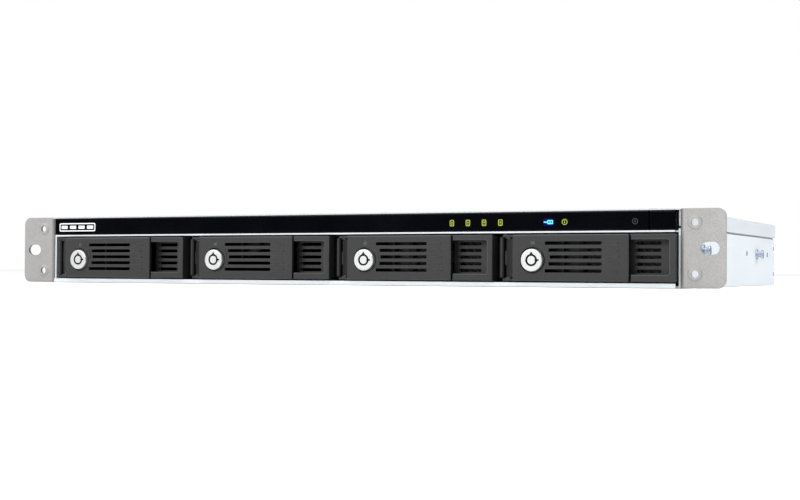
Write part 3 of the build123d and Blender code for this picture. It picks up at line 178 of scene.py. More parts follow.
class RackUnitSettings(PropertyGroup):
    """All of the unit's settings."""
    sheet: PointerProperty(type=RackSheetLook)
    ear: PointerProperty(type=RackEarLook)
    band: PointerProperty(type=RackBandLook)
    tray: PointerProperty(type=RackTrayLook)
    stage: PointerProperty(type=RackStageLook)


def settings():
    return bpy.context.scene.rack_unit


# ---- node group and material helpers ---------------------------------------------------------

class Wiring:
    """A node tree with short calls for adding and joining nodes."""

    def __init__(self, tree):
        self.tree = tree

    def add(self, kind, **values):
        node = self.tree.nodes.new(kind)
        for key, value in values.items():
            setattr(node, key, value)
        return node

    def join(self, source, target):
        self.tree.links.new(source, target)

    def put(self, socket, value):
        if isinstance(value, bpy.types.NodeSocket):
            self.join(value, socket)
        else:
            socket.default_value = value

    def math(self, operation, *values, clamp=False):
        node = self.add("ShaderNodeMath", operation=operation, use_clamp=clamp)
        for socket, value in zip(node.inputs, values):
            self.put(socket, value)
        return node.outputs[0]

    def measure(self, operation, first, second):
        """A number from two vectors: their dot product or the distance between them."""
        node = self.add("ShaderNodeVectorMath", operation=operation)
        self.put(node.inputs[0], first)
        self.put(node.inputs[1], second)
        return node.outputs["Value"]

    def scale(self, colour, factor):
        node = self.add("ShaderNodeVectorMath", operation="SCALE")
        self.put(node.inputs[0], colour)
        self.put(node.inputs["Scale"], factor)
        return node.outputs["Vector"]

    def mix(self, factor, first, second):
        node = self.add("ShaderNodeMix", data_type="RGBA")
        self.put(node.inputs["Factor"], factor)
        self.put(node.inputs[6], first)
        self.put(node.inputs[7], second)
        return node.outputs[2]

    def noise(self, place, scale, detail=3.0, roughness=0.55):
        node = self.add("ShaderNodeTexNoise")
        self.join(place, node.inputs["Vector"])
        self.put(node.inputs["Scale"], scale)
        node.inputs["Detail"].default_value = detail
        node.inputs["Roughness"].default_value = roughness
        return node.outputs["Fac"]

    def spread(self, value, low, high, out_low=0.0, out_high=1.0):
        node = self.add("ShaderNodeMapRange", clamp=True)
        self.put(node.inputs["Value"], value)
        self.put(node.inputs["From Min"], low)
        self.put(node.inputs["From Max"], high)
        self.put(node.inputs["To Min"], out_low)
        self.put(node.inputs["To Max"], out_high)
        return node.outputs[0]


def new_group(name, inputs, outputs):
    """A shader node group with named sockets: (name, type, default) in, (name, type) out."""
    tree = bpy.data.node_groups.new(name, "ShaderNodeTree")
    for socket_name, kind, default in inputs:
        socket = tree.interface.new_socket(socket_name, in_out="INPUT", socket_type=kind)
        socket.default_value = default
    for socket_name, kind in outputs:
        tree.interface.new_socket(socket_name, in_out="OUTPUT", socket_type=kind)
    wiring = Wiring(tree)
    return wiring, wiring.add("NodeGroupInput"), wiring.add("NodeGroupOutput")


VALUE, COLOUR, VECTOR = "NodeSocketFloat", "NodeSocketColor", "NodeSocketVector"


def make_moulded_grain():
    """Fine spark-eroded grain of moulded plastic or powder coat."""
    w, given, result = new_group("Moulded grain", [
        ("Place", VECTOR, (0, 0, 0)), ("Colour", COLOUR, (0.1, 0.1, 0.1, 1)), ("Grain size", VALUE, 0.0005),
        ("Colour spread", VALUE, 0.1), ("Roughness", VALUE, 0.5)], [
        ("Colour", COLOUR), ("Roughness", VALUE), ("Height", VALUE)])
    scale = w.math("DIVIDE", 1.0, given.outputs["Grain size"])
    fine = w.noise(given.outputs["Place"], scale, 2.0)
    broad = w.noise(given.outputs["Place"], w.math("DIVIDE", scale, 22.0), 3.0)
    blend = w.math("ADD", w.math("MULTIPLY", fine, 0.7), w.math("MULTIPLY", broad, 0.3))
    swing = w.math("MULTIPLY", w.math("SUBTRACT", blend, 0.5), given.outputs["Colour spread"])
    gain = w.math("ADD", 1.0, w.math("MULTIPLY", swing, 4.0))
    w.join(w.scale(given.outputs["Colour"], gain), result.inputs["Colour"])
    w.join(w.math("ADD", given.outputs["Roughness"], w.math("MULTIPLY", w.math("SUBTRACT", broad, 0.5), 0.16),
                  clamp=True), result.inputs["Roughness"])
    w.join(fine, result.inputs["Height"])
    return w.tree


def make_edge_wear_and_highlight():
    """Mask of edge wear that hands and sleeves leave bright, which also serves as painted highlights along
    the edges.
    """
    w, given, result = new_group("Edge wear and highlight", [
        ("Place", VECTOR, (0, 0, 0)), ("Width", VALUE, 0.0004), ("Amount", VALUE, 0.5)], [("Mask", VALUE)])
    # Edges found from the bevel normal; the mask marks wear and painted highlights along them.
    rounded = w.add("ShaderNodeBevel", samples=4)
    w.join(given.outputs["Width"], rounded.inputs["Radius"])
    surface = w.add("ShaderNodeNewGeometry")
    facing = w.measure("DOT_PRODUCT", rounded.outputs["Normal"], surface.outputs["Normal"])
    edge = w.spread(facing, 0.995, 0.80)
    patchy = w.spread(w.noise(given.outputs["Place"], 320.0, 4.0), 0.38, 0.66)
    w.join(w.math("MULTIPLY", w.math("MULTIPLY", edge, patchy), given.outputs["Amount"], clamp=True),
           result.inputs["Mask"])
    return w.tree


def make_settled_dust():
    """Mask of the dust that lies on upward faces and in patches."""
    w, given, result = new_group("Settled dust", [
        ("Place", VECTOR, (0, 0, 0)), ("Amount", VALUE, 0.2)], [("Mask", VALUE)])
    surface = w.add("ShaderNodeNewGeometry")
    split = w.add("ShaderNodeSeparateXYZ")
    w.join(surface.outputs["Normal"], split.inputs[0])
    upward = w.spread(split.outputs["Z"], 0.3, 1.0)
    specks = w.spread(w.noise(given.outputs["Place"], 900.0, 4.0, 0.7), 0.52, 0.72)
    haze = w.spread(w.noise(given.outputs["Place"], 18.0, 3.0), 0.35, 0.75)
    total = w.math("ADD", w.math("MULTIPLY", specks, 0.45), w.math("MULTIPLY", haze, 0.55))
    w.join(w.math("MULTIPLY", w.math("MULTIPLY", upward, total), given.outputs["Amount"], clamp=True),
           result.inputs["Mask"])
    return w.tree


def make_rolled_sheet():
    """Streaks, clouds and faint scratches of zinc-coated rolled sheet."""
    w, given, result = new_group("Rolled sheet", [
        ("Place", VECTOR, (0, 0, 0)), ("Colour", COLOUR, (0.8, 0.8, 0.8, 1)), ("Roughness", VALUE, 0.35),
        ("Streaks", VALUE, 0.3)], [("Colour", COLOUR), ("Roughness", VALUE), ("Height", VALUE)])
    stretch = w.add("ShaderNodeMapping")
    stretch.inputs["Scale"].default_value = (1.0, 0.02, 1.0)
    w.join(given.outputs["Place"], stretch.inputs["Vector"])
    streak = w.noise(stretch.outputs[0], 2600.0, 3.0)
    cloud = w.noise(given.outputs["Place"], 14.0, 4.0)
    scratch_run = w.add("ShaderNodeMapping")
    scratch_run.inputs["Rotation"].default_value = (0.3, 0.5, 0.7)
    scratch_run.inputs["Scale"].default_value = (1.0, 0.04, 1.0)
    w.join(given.outputs["Place"], scratch_run.inputs["Vector"])
    scratch = w.spread(w.noise(scratch_run.outputs[0], 420.0, 2.0), 0.70, 0.74)
    shade = w.math("ADD", w.math("MULTIPLY", w.math("SUBTRACT", streak, 0.5), 0.10),
                   w.math("MULTIPLY", w.math("SUBTRACT", cloud, 0.5), 0.10))
    gain = w.math("ADD", 1.0, w.math("MULTIPLY", shade, given.outputs["Streaks"]))
    w.join(w.scale(given.outputs["Colour"], gain), result.inputs["Colour"])
    dulled = w.math("MULTIPLY", w.math("SUBTRACT", cloud, 0.5), 0.18)
    rough = w.math("ADD", given.outputs["Roughness"], dulled)
    polished = w.math("MULTIPLY", scratch, 0.10)
    w.join(w.math("SUBTRACT", rough, polished, clamp=True), result.inputs["Roughness"])
    w.join(w.math("SUBTRACT", streak, scratch), result.inputs["Height"])
    return w.tree


def make_lamp_spot():
    """Soft round glow about one lamp behind a window: 1 at its middle, 0 past its reach."""
    w, given, result = new_group("Lamp spot", [
        ("Place", VECTOR, (0, 0, 0)), ("Middle", VECTOR, (0, 0, 0)), ("Reach", VALUE, 0.003)], [
        ("Mask", VALUE)])
    away = w.measure("DISTANCE", given.outputs["Place"], given.outputs["Middle"])
    near = w.math("SUBTRACT", 1.0, w.math("DIVIDE", away, given.outputs["Reach"]), clamp=True)
    w.join(w.math("POWER", near, 1.6), result.inputs["Mask"])
    return w.tree


def make_layer():
    """1 between two levels along an axis, falling to 0 over a short softness on each side."""
    w, given, result = new_group("Layer", [
        ("Place", VECTOR, (0, 0, 0)), ("Axis", VECTOR, (0, 0, 1)), ("Low", VALUE, 0.0),
        ("High", VALUE, 0.001), ("Softness", VALUE, 0.0001)], [
        ("Mask", VALUE)])
    level = w.measure("DOT_PRODUCT", given.outputs["Place"], given.outputs["Axis"])
    softness = given.outputs["Softness"]
    above = w.math("DIVIDE", w.math("SUBTRACT", level, given.outputs["Low"]), softness, clamp=True)
    below = w.math("DIVIDE", w.math("SUBTRACT", given.outputs["High"], level), softness, clamp=True)
    w.join(w.math("MULTIPLY", above, below), result.inputs["Mask"])
    return w.tree


class Finish:
    """One material: a Principled shader, Object coordinates and the shared groups."""

    def __init__(self, name, **constants):
        self.material = bpy.data.materials.new(name)
        self.material.use_nodes = True
        tree = self.material.node_tree
        self.w = Wiring(tree)
        self.shader = tree.nodes["Principled BSDF"]
        for socket, value in constants.items():
            self.shader.inputs[socket.replace("_", " ")].default_value = value
        self.place = self.w.add("ShaderNodeTexCoord").outputs["Object"]

    def group(self, name, **values):
        node = self.w.add("ShaderNodeGroup", node_tree=bpy.data.node_groups[name])
        if "Place" in node.inputs:
            self.w.join(self.place, node.inputs["Place"])
        for socket, value in values.items():
            self.w.put(node.inputs[socket.replace("_", " ")], value)
        return node.outputs

    def colour(self, value):
        self.w.put(self.shader.inputs["Base Color"], value)

    def roughness(self, value):
        self.w.put(self.shader.inputs["Roughness"], value)

    def bump(self, height, distance, strength):
        node = self.w.add("ShaderNodeBump")
        node.inputs["Distance"].default_value = distance
        node.inputs["Strength"].default_value = strength
        self.w.join(height, node.inputs["Height"])
        self.w.join(node.outputs[0], self.shader.inputs["Normal"])


DUST_ON_MOULDING = (0.45, 0.44, 0.42, 1)
DUST_ON_SHEET = (0.5, 0.49, 0.47, 1)
# Colour of the painted shade in the seam under the lid's flange.
SEAM_SHADE = (0.30, 0.31, 0.33, 1)
SHEET_DUST = 0.06
SHEET_STREAK_HEIGHT = 0.004 * MM
# How far behind the tray face the band of painted highlight starts and stops.
LIT_RIM_FROM = 0.08 * MM
LIT_RIM_BACK = 0.62 * MM
LIT_RIM_SOFTNESS = 0.08 * MM
LOCK_RING_STEP = 0.22 * MM
LOCK_KEYWAY_R = 5.6 * MM
# Depths behind the lock face where the painted shade begins and where it is full.
LOCK_SHADE_FROM = 0.12 * MM
LOCK_SHADE_BELOW = 0.5 * MM
DRIVE_CASTING = (0.24, 0.245, 0.255, 1)
# Painted shade over the drives' front ends.
DRIVE_FRONT_SHADE = (0.010, 0.010, 0.010, 1)
DRIVE_FRONT_SHADE_END = 5 * MM
DRIVE_FRONT_SHADE_SOFTNESS = 0.2 * MM
LAMP_GLOW_REACH = 4.2 * MM
LAMP_GLOW = (0.004, 0.0, 0.42, 1)
THIN_INK_TONE = 0.82


def rgba(colour):
    return (*colour, 1.0)


def moulded_finish(name, colour, grain_size, roughness, spread=0.08, bump=0.01, dust=0.10, wear_and_highlight=0.35,
                   wear_and_highlight_tone=(0.16, 0.16, 0.16), lit_rim=None, **constants):
    """Moulded plastic or powder coat: grain, edge wear with painted highlights along the edges and a little
    dust, with a painted highlight in the edge tone over a band just behind the front face where one is given."""
    finish = Finish(name, **constants)
    grain = finish.group("Moulded grain", Colour=rgba(colour), Grain_size=grain_size, Colour_spread=spread,
                         Roughness=roughness)
    # Edge mask: wear and painted highlights along the edges.
    edge = finish.group("Edge wear and highlight", Amount=wear_and_highlight)["Mask"]
    dusty = finish.group("Settled dust", Amount=dust)["Mask"]
    with_wear_and_highlight = finish.w.mix(edge, grain["Colour"], rgba(wear_and_highlight_tone))
    if lit_rim:
        # Painted highlight over the groove floors and chamfers just behind the front face.
        shown = finish.group("Layer", Axis=(0, 1, 0), Low=lit_rim[0], High=lit_rim[1], Softness=LIT_RIM_SOFTNESS)["Mask"]
        with_wear_and_highlight = finish.w.mix(shown, with_wear_and_highlight, rgba(wear_and_highlight_tone))
    finish.colour(finish.w.mix(dusty, with_wear_and_highlight, DUST_ON_MOULDING))
    dulled = finish.w.math("MULTIPLY", dusty, 0.4)
    finish.roughness(finish.w.math("ADD", grain["Roughness"], dulled, clamp=True))
    finish.bump(grain["Height"], bump * MM, 0.6)
    return finish.material


def sheet_finish(name, colour, roughness, streaks=1.0, metallic=0.9, seam=None):
    """Plated or bare sheet metal, with painted shade in a level seam where one is given."""
    finish = Finish(name, Metallic=metallic)
    sheet = finish.group("Rolled sheet", Colour=rgba(colour), Roughness=roughness, Streaks=streaks)
    dusty = finish.group("Settled dust", Amount=SHEET_DUST)["Mask"]
    tone = finish.w.mix(dusty, sheet["Colour"], DUST_ON_SHEET)
    if seam:
        # Painted shade: a dark band along the seam under the lid's flange, where its shadow line falls.
        seam_shade = finish.group("Layer", Low=seam[0], High=seam[1], Softness=SEAM_SOFTNESS)["Mask"]
        tone = finish.w.mix(seam_shade, tone, SEAM_SHADE)
    finish.colour(tone)
    dulled = finish.w.math("MULTIPLY", dusty, 0.35)
    finish.roughness(finish.w.math("ADD", sheet["Roughness"], dulled, clamp=True))
    finish.bump(sheet["Height"], SHEET_STREAK_HEIGHT, 0.5)
    return finish.material


def lacquer_finish(name, colour):
    """Deep glossy moulding with barely visible polishing marks and a little dust."""
    finish = Finish(name, Coat_Weight=0.03, Coat_Roughness=0.04, Specular_IOR_Level=0.14)
    haze = finish.w.noise(finish.place, 40.0, 4.0)
    dusty = finish.group("Settled dust", Amount=0.03)["Mask"]
    finish.colour(finish.w.mix(dusty, rgba(colour), (0.2, 0.2, 0.2, 1)))
    finish.roughness(finish.w.spread(haze, 0.3, 0.7, 0.06, 0.12))
    finish.bump(finish.w.noise(finish.place, 90.0, 2.0), 0.003 * MM, 0.2)
    return finish.material


def smoked_finish(name, colour):
    """Smoked windows, with the blue lamp's glow behind its sign."""
    finish = Finish(name)
    finish.shader.inputs["Emission Strength"].default_value = 1.0
    middle = (SOCKET_SIGN_X, SIGN_Y, SIGN_Z)
    glow = finish.group("Lamp spot", Middle=middle, Reach=LAMP_GLOW_REACH)["Mask"]
    speck = finish.w.noise(finish.place, 700.0, 2.0)
    finish.colour(rgba(colour))
    finish.roughness(finish.w.spread(speck, 0.3, 0.7, 0.07, 0.13))
    finish.w.join(finish.w.mix(glow, (0, 0, 0, 1), LAMP_GLOW), finish.shader.inputs["Emission Color"])
    return finish.material


def lit_finish(name, colour, strength):
    """A lit sign that is slightly uneven in brightness; at no strength it is a plain unlit print."""
    finish = Finish(name)
    finish.shader.inputs["Emission Strength"].default_value = strength
    uneven = finish.w.spread(finish.w.noise(finish.place, 900.0, 2.0), 0.3, 0.7, 0.82, 1.0)
    glow = finish.w.scale(colour, uneven)
    finish.w.join(glow, finish.shader.inputs["Emission Color"])
    finish.colour(glow)
    finish.roughness(finish.w.spread(uneven, 0.8, 1.0, 0.35, 0.45))
    return finish.material


def printed_finish(name, colour):
    """Screen-printed ink with a slightly broken surface."""
    finish = Finish(name)
    speck = finish.w.noise(finish.place, 2200.0, 3.0)
    thin_ink = rgba([value * THIN_INK_TONE for value in colour])
    finish.colour(finish.w.mix(finish.w.spread(speck, 0.25, 0.45), thin_ink, rgba(colour)))
    finish.roughness(finish.w.spread(speck, 0.3, 0.7, 0.4, 0.55))
    finish.bump(speck, 0.004 * MM, 0.5)
    return finish.material


def lock_finish(name):
    """Polished lock face: turned rings and fine wear, with painted shade, near black and not metallic, over
    the keyway and sides behind the face.
    """
    finish = Finish(name)
    w = finish.w
    split = w.add("ShaderNodeSeparateXYZ")
    w.join(finish.place, split.inputs[0])
    first = lock_axis(1)
    away = w.math("SUBTRACT", split.outputs["X"], first.x)
    across = w.math("WRAP", away, BAY_PITCH / 2, -BAY_PITCH / 2)
    upward = w.math("SUBTRACT", split.outputs["Z"], first.z)
    squares = w.math("ADD", w.math("MULTIPLY", across, across), w.math("MULTIPLY", upward, upward))
    radius = w.math("SQRT", squares)
    rings = w.math("SINE", w.math("MULTIPLY", radius, 2 * math.pi / LOCK_RING_STEP))
    marks = w.noise(finish.place, 1500.0, 3.0)
    # Painted shade: near the axis, whatever lies a fraction of a millimetre behind the face turns near black
    # and loses its metal.
    deep = w.spread(split.outputs["Y"], LOCK_FACE_Y + LOCK_SHADE_FROM, LOCK_FACE_Y + LOCK_SHADE_BELOW)
    lock_shade = w.math("MULTIPLY", deep, w.math("LESS_THAN", radius, LOCK_KEYWAY_R))
    bright = w.mix(w.spread(marks, 0.55, 0.75), (0.62, 0.62, 0.62, 1), (0.46, 0.46, 0.46, 1))
    finish.colour(w.mix(lock_shade, bright, (0.004, 0.004, 0.004, 1)))
    w.put(finish.shader.inputs["Metallic"], w.spread(lock_shade, 0.0, 1.0, 0.75, 0.0))
    finish.roughness(w.spread(marks, 0.3, 0.75, 0.26, 0.40))
    finish.bump(rings, 0.004 * MM, 0.3)
    return finish.material


def board_finish(name):
    """Solder mask with tracks and pads."""
    finish = Finish(name, Coat_Weight=0.3, Coat_Roughness=0.2)
    w = finish.w
    brick = w.add("ShaderNodeTexBrick", offset=0.37)
    w.join(finish.place, brick.inputs["Vector"])
    brick.inputs["Scale"].default_value = 260.0
    brick.inputs["Mortar Size"].default_value = 0.012
    brick.inputs["Brick Width"].default_value = 2.3
    brick.inputs["Row Height"].default_value = 0.18
    brick.inputs["Color1"].default_value = (0.010, 0.075, 0.030, 1)
    brick.inputs["Color2"].default_value = (0.014, 0.095, 0.038, 1)
    brick.inputs["Mortar"].default_value = (0.03, 0.17, 0.07, 1)
    cells = w.add("ShaderNodeTexVoronoi")
    w.join(finish.place, cells.inputs["Vector"])
    cells.inputs["Scale"].default_value = 420.0
    pads = w.spread(cells.outputs["Distance"], 0.22, 0.17)
    finish.colour(w.mix(pads, brick.outputs["Color"], (0.62, 0.60, 0.52, 1)))
    w.put(finish.shader.inputs["Metallic"], w.math("MULTIPLY", pads, 0.8))
    finish.roughness(w.spread(w.noise(finish.place, 50.0), 0.3, 0.7, 0.28, 0.42))
    return finish.material


def cast_finish(name):
    """Cast and plated drive body, with painted shade, near black, over its front end."""
    finish = Finish(name, Metallic=0.2)
    grain = finish.group("Moulded grain", Colour=DRIVE_CASTING, Grain_size=0.9 * MM, Colour_spread=0.10,
                         Roughness=0.46)
    # Painted shade: the front few millimetres, seen through the slots, are painted near black.
    end = finish.group("Layer", Axis=(0, 1, 0), Low=DRIVE_FACE_Y - MM, High=DRIVE_FACE_Y + DRIVE_FRONT_SHADE_END,
                       Softness=DRIVE_FRONT_SHADE_SOFTNESS)["Mask"]
    finish.colour(finish.w.mix(end, grain["Colour"], DRIVE_FRONT_SHADE))
    finish.roughness(grain["Roughness"])
    finish.bump(grain["Height"], 0.03 * MM, 0.6)
    return finish.material


# ---- modelling helpers -----------------------------------------------------------------------

def settle(name, body, material):
    """Finishes the active object: origin at the frame's origin, name, material, body and slot."""
    piece = bpy.context.object
    bpy.ops.object.transform_apply(location=True, rotation=True, scale=True)
    bpy.context.scene.cursor.location = (0, 0, 0)
    bpy.ops.object.origin_set(type="ORIGIN_CURSOR")
    piece.name = name
    piece.data.name = name
    piece.data.materials.clear()
    piece.data.materials.append(material)
    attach(piece, body)


def join_pieces(pieces):
    """Joins pieces into the first one and leaves it active."""
    bpy.ops.object.select_all(action="DESELECT")
    for piece in pieces:
        piece.select_set(True)
    bpy.context.view_layer.objects.active = pieces[0]
    bpy.ops.object.join()


def thicken():
    """Gives the active flat piece the thickness of a print, towards the back."""
    bpy.ops.object.mode_set(mode="EDIT")
    bpy.ops.mesh.select_all(action="SELECT")
    bpy.ops.mesh.extrude_region_move(TRANSFORM_OT_translate={"value": (0, PRINT_DEPTH, 0)})
    bpy.ops.mesh.select_all(action="SELECT")
    bpy.ops.mesh.normals_make_consistent(inside=False)
    bpy.ops.object.mode_set(mode="OBJECT")


def upright_tile(centre, width, height, corner):
    """A flat tile that faces the front, with rounded corners."""
    bpy.ops.object.select_all(action="DESELECT")
    bpy.ops.mesh.primitive_plane_add(size=1, location=centre, rotation=(math.pi / 2, 0, 0))
    piece = bpy.context.object
    piece.scale = (width, height, 1)
    bpy.ops.object.transform_apply(location=False, rotation=True, scale=True)
    if corner > 0:
        bpy.ops.object.mode_set(mode="EDIT")
        bpy.ops.mesh.select_all(action="SELECT")
        bpy.ops.mesh.bevel(offset=corner, segments=6, affect="VERTICES")
        bpy.ops.object.mode_set(mode="OBJECT")
    return piece


def upright_frame(centre, width, height, corner, line):
    """A rounded outline of one line width that faces the front."""
    piece = upright_tile(centre, width, height, corner)
    bpy.ops.object.mode_set(mode="EDIT")
    bpy.ops.mesh.select_all(action="SELECT")
    bpy.ops.mesh.inset(thickness=line, depth=0)
    bpy.ops.mesh.delete(type="FACE")
    bpy.ops.object.mode_set(mode="OBJECT")
    thicken()
    return piece


def upright_solid(centre, width, height, corner=0.0):
    """A rounded or square tile of a print's thickness that faces the front."""
    piece = upright_tile(centre, width, height, corner)
    thicken()
    return piece


# ---- operators -------------------------------------------------------------------------------

def soften(node, width):
    """Rounds a CAD node's sharp edges with live modifiers, its own mesh untouched."""
    piece = NODES[node]
    piece.data.shade_smooth()
    weld = piece.modifiers.new("Weld", "WELD")
    weld.merge_threshold = WELD_REACH
    flat = piece.modifiers.new("Flat faces", "DECIMATE")
    flat.decimate_type = "DISSOLVE"
    flat.angle_limit = math.radians(0.4)
    edge = piece.modifiers.new("Rounded edges", "BEVEL")
    edge.width = width
    edge.segments = 2
    edge.limit_method = "ANGLE"
    edge.angle_limit = math.radians(38)
    edge.miter_outer = "MITER_ARC"
    even = piece.modifiers.new("Even shading", "WEIGHTED_NORMAL")
    even.weight = 100
    even.keep_sharp = False


def dress(names, material):
    """Gives CAD nodes their finish."""
    for name in names:
        slots = NODES[name].data.materials
        slots.clear()
        slots.append(material)


def per_bay(name):
    return [f"{name}_{bay}" for bay in range(1, BAYS + 1)]


class RACK_OT_shared_groups(Operator):
    """Builds the node groups that the finishes share"""
    bl_idname = "rack.shared_groups"
    bl_label = "Shared node groups"

    def execute(self, context):
        make_moulded_grain()
        make_edge_wear_and_highlight()
        make_settled_dust()
        make_rolled_sheet()
        make_lamp_spot()
        make_layer()
        return {"FINISHED"}


class RACK_OT_finish_case(Operator):
    """Zinc finish of the case sheets, rear panel and inner sheets"""
    bl_idname = "rack.finish_case"
    bl_label = "Case sheets"

    def execute(self, context):
        look = settings().sheet
        zinc = sheet_finish("Zinc sheet", look.tint, look.gloss_spread, metallic=0.4)
        dress(["bay_roof", "bay_dividers", "rear_panel", "cover_strap"], zinc)
        # Painted shade: the lid gets a darker copy of the pan's zinc.
        shaded_lid_tint = [look.lid_shade * value for value in look.tint]
        dress(["top_cover"], sheet_finish("Zinc lid", shaded_lid_tint, 0.56, metallic=0.12))
        # The pan's band of painted shade under the lid's flange.
        seam = (SEAM_Z - SEAM_BELOW, SEAM_Z + SEAM_ABOVE)
        dress(["base_pan"], sheet_finish("Zinc pan", look.tint, look.gloss_spread, metallic=0.4, seam=seam))
        dress(["psu_case"], sheet_finish("Supply case sheet", (0.66, 0.68, 0.70), 0.42))
        for node in ("base_pan", "top_cover", "bay_roof"):
            soften(node, look.edge_round)
        return {"FINISHED"}


class RACK_OT_finish_ears(Operator):
    """Powder coat of the rack ears"""
    bl_idname = "rack.finish_ears"
    bl_label = "Rack ears"

    def execute(self, context):
        look = settings().ear
        # The lighter edge tone gives wear and painted highlights along the ears' edges.
        coat = moulded_finish("Ear powder coat", look.coat, look.grain_size, 0.46, spread=0.22, bump=0.04,
                              wear_and_highlight=0.25, wear_and_highlight_tone=(0.6, 0.6, 0.6), Metallic=0.35)
        dress(["ear_left", "ear_right"], coat)
        for node in ("ear_left", "ear_right"):
            soften(node, 0.3 * MM)
        return {"FINISHED"}


class RACK_OT_finish_band(Operator):
    """Lacquer of the band and power button, and the smoked windows"""
    bl_idname = "rack.finish_band"
    bl_label = "Glossy band"

    def execute(self, context):
        look = settings().band
        dress(["front_panel", "power_button"], lacquer_finish("Band lacquer", look.lacquer))
        dress(["indicator_windows"], smoked_finish("Smoked window", look.lacquer))
        return {"FINISHED"}


class RACK_OT_finish_trays(Operator):
    """Moulded plastic of trays, frames and levers, with mesh, pins, locks and drives"""
    bl_idname = "rack.finish_trays"
    bl_label = "Trays and levers"

    def execute(self, context):
        look = settings().tray
        # Painted highlights: an edge tone over four times the plastic's own, along its edges and on the band
        # just behind its front face.
        plastic = moulded_finish("Tray plastic", look.plastic, 0.45 * MM, 0.46, bump=0.02, wear_and_highlight=0.9,
                                 wear_and_highlight_tone=(0.060, 0.060, 0.061),
                                 lit_rim=(TRAY_FACE_Y + LIT_RIM_FROM, TRAY_FACE_Y + LIT_RIM_BACK), Specular_IOR_Level=0.4)
        dress(per_bay("tray") + per_bay("tray_bezel") + per_bay("lever"), plastic)
        mesh = moulded_finish("Mesh paint", (0.006, 0.006, 0.0062), 0.6 * MM, 0.5, bump=0.02, wear_and_highlight=0.1,
                              wear_and_highlight_tone=(0.02, 0.02, 0.02), dust=0.03, Specular_IOR_Level=0.3)
        dress(per_bay("tray_mesh"), mesh)
        dress(per_bay("lock"), lock_finish("Lock chrome"))
        dress(per_bay("hinge_pin"), sheet_finish("Pin wire", (0.62, 0.62, 0.64), 0.3))
        dress(per_bay("drive"), cast_finish("Drive casting"))
        for node in per_bay("tray_bezel") + per_bay("lever"):
            soften(node, look.edge_round)
        for node in per_bay("lock"):
            soften(node, 0.12 * MM)
        return {"FINISHED"}


class RACK_OT_finish_fittings(Operator):
    """Fasteners, boards, sockets, fans and other fittings"""
    bl_idname = "rack.finish_fittings"
    bl_label = "Fittings"

    def execute(self, context):
        zinc = sheet_finish("Zinc fastener", (0.42, 0.48, 0.56), 0.30, streaks=0.4, metallic=1.0)
        dress(["rail_studs", "ear_screws", "lid_screws", "board_standoffs"], zinc)
        # The default edge tone gives wear and painted highlights along the mouldings' edges.
        black = moulded_finish("Black moulding", (0.011, 0.011, 0.0115), 0.4 * MM, 0.5, bump=0.02)
        dress(["bezel_frame", "guide_rails", "fan_frames", "fan_rotor_1", "fan_rotor_2", "psu_inlet",
               "backplane_sockets", "reset_switch", "reset_button"], black)
        dress(["led_board", "backplane", "mainboard", "memory_module"], board_finish("Circuit board"))
        dress(["heatsink"], sheet_finish("Heat sink", (0.72, 0.73, 0.75), 0.34, streaks=2.0))
        dress(["lan_ports", "usb_ports"], sheet_finish("Socket shell", (0.78, 0.78, 0.76), 0.24, streaks=0.5))
        soften("rail_studs", 0.15 * MM)
        return {"FINISHED"}


class RACK_OT_drive_signs(Operator):
    """Lit drive signs: a rounded outline with a disc inside, one for each bay"""
    bl_idname = "rack.drive_signs"
    bl_label = "Drive signs"

    def execute(self, context):
        look = settings().band
        glow = lit_finish("Drive lamp", look.drive_lamp, 1.0)
        y = SIGN_Y - PRINT_DEPTH
        for number, x in enumerate(DRIVE_SIGN_X, start=1):
            outline = upright_frame((x, y, SIGN_Z), look.sign_width, look.sign_height,
                                    corner=0.6 * MM, line=look.line)
            disc = upright_frame((x, y, SIGN_Z + 0.25 * MM), width=1.0 * MM, height=1.0 * MM,
                                 corner=0.49 * MM, line=0.25 * MM)
            foot = upright_solid((x, y, SIGN_Z - 0.9 * MM), width=0.9 * MM, height=0.25 * MM,
                                 corner=0.05 * MM)
            join_pieces([outline, disc, foot])
            settle(f"drive_sign_{number}", "chassis", glow)
        return {"FINISHED"}


class RACK_OT_other_signs(Operator):
    """Blue socket sign, lit status sign and unlit spare sign"""
    bl_idname = "rack.other_signs"
    bl_label = "Socket and status signs"

    def execute(self, context):
        look = settings().band
        y = SIGN_Y - PRINT_DEPTH
        x = SOCKET_SIGN_X
        blue = lit_finish("Socket lamp", look.link_lamp, 1.3)
        plug = upright_frame((x + 0.9 * MM, y, SIGN_Z), width=3.4 * MM, height=2.3 * MM,
                             corner=0.3 * MM, line=0.55 * MM)
        lead = upright_solid((x - 1.9 * MM, y, SIGN_Z), width=2.0 * MM, height=0.6 * MM)
        core = upright_solid((x + 0.9 * MM, y, SIGN_Z), width=1.3 * MM, height=0.5 * MM)
        join_pieces([plug, lead, core])
        settle("socket_sign", "chassis", blue)
        rings = (
            ("status", STATUS_SIGN_X, look.status_lamp, 1.0),
            ("spare", SPARE_SIGN_X, look.unlit_sign, 0.0),
        )
        for name, x, colour, strength in rings:
            ring = upright_frame((x, y, SIGN_Z), width=3.3 * MM, height=3.3 * MM, corner=1.64 * MM,
                                 line=look.line)
            bar = upright_solid((x, y, SIGN_Z - 0.2 * MM), width=0.4 * MM, height=1.1 * MM)
            dot = upright_solid((x, y, SIGN_Z + 0.75 * MM), width=0.4 * MM, height=0.35 * MM)
            join_pieces([ring, bar, dot])
            lamp = lit_finish(f"{name.title()} lamp", colour, strength)
            settle(f"{name}_sign", "chassis", lamp)
        return {"FINISHED"}


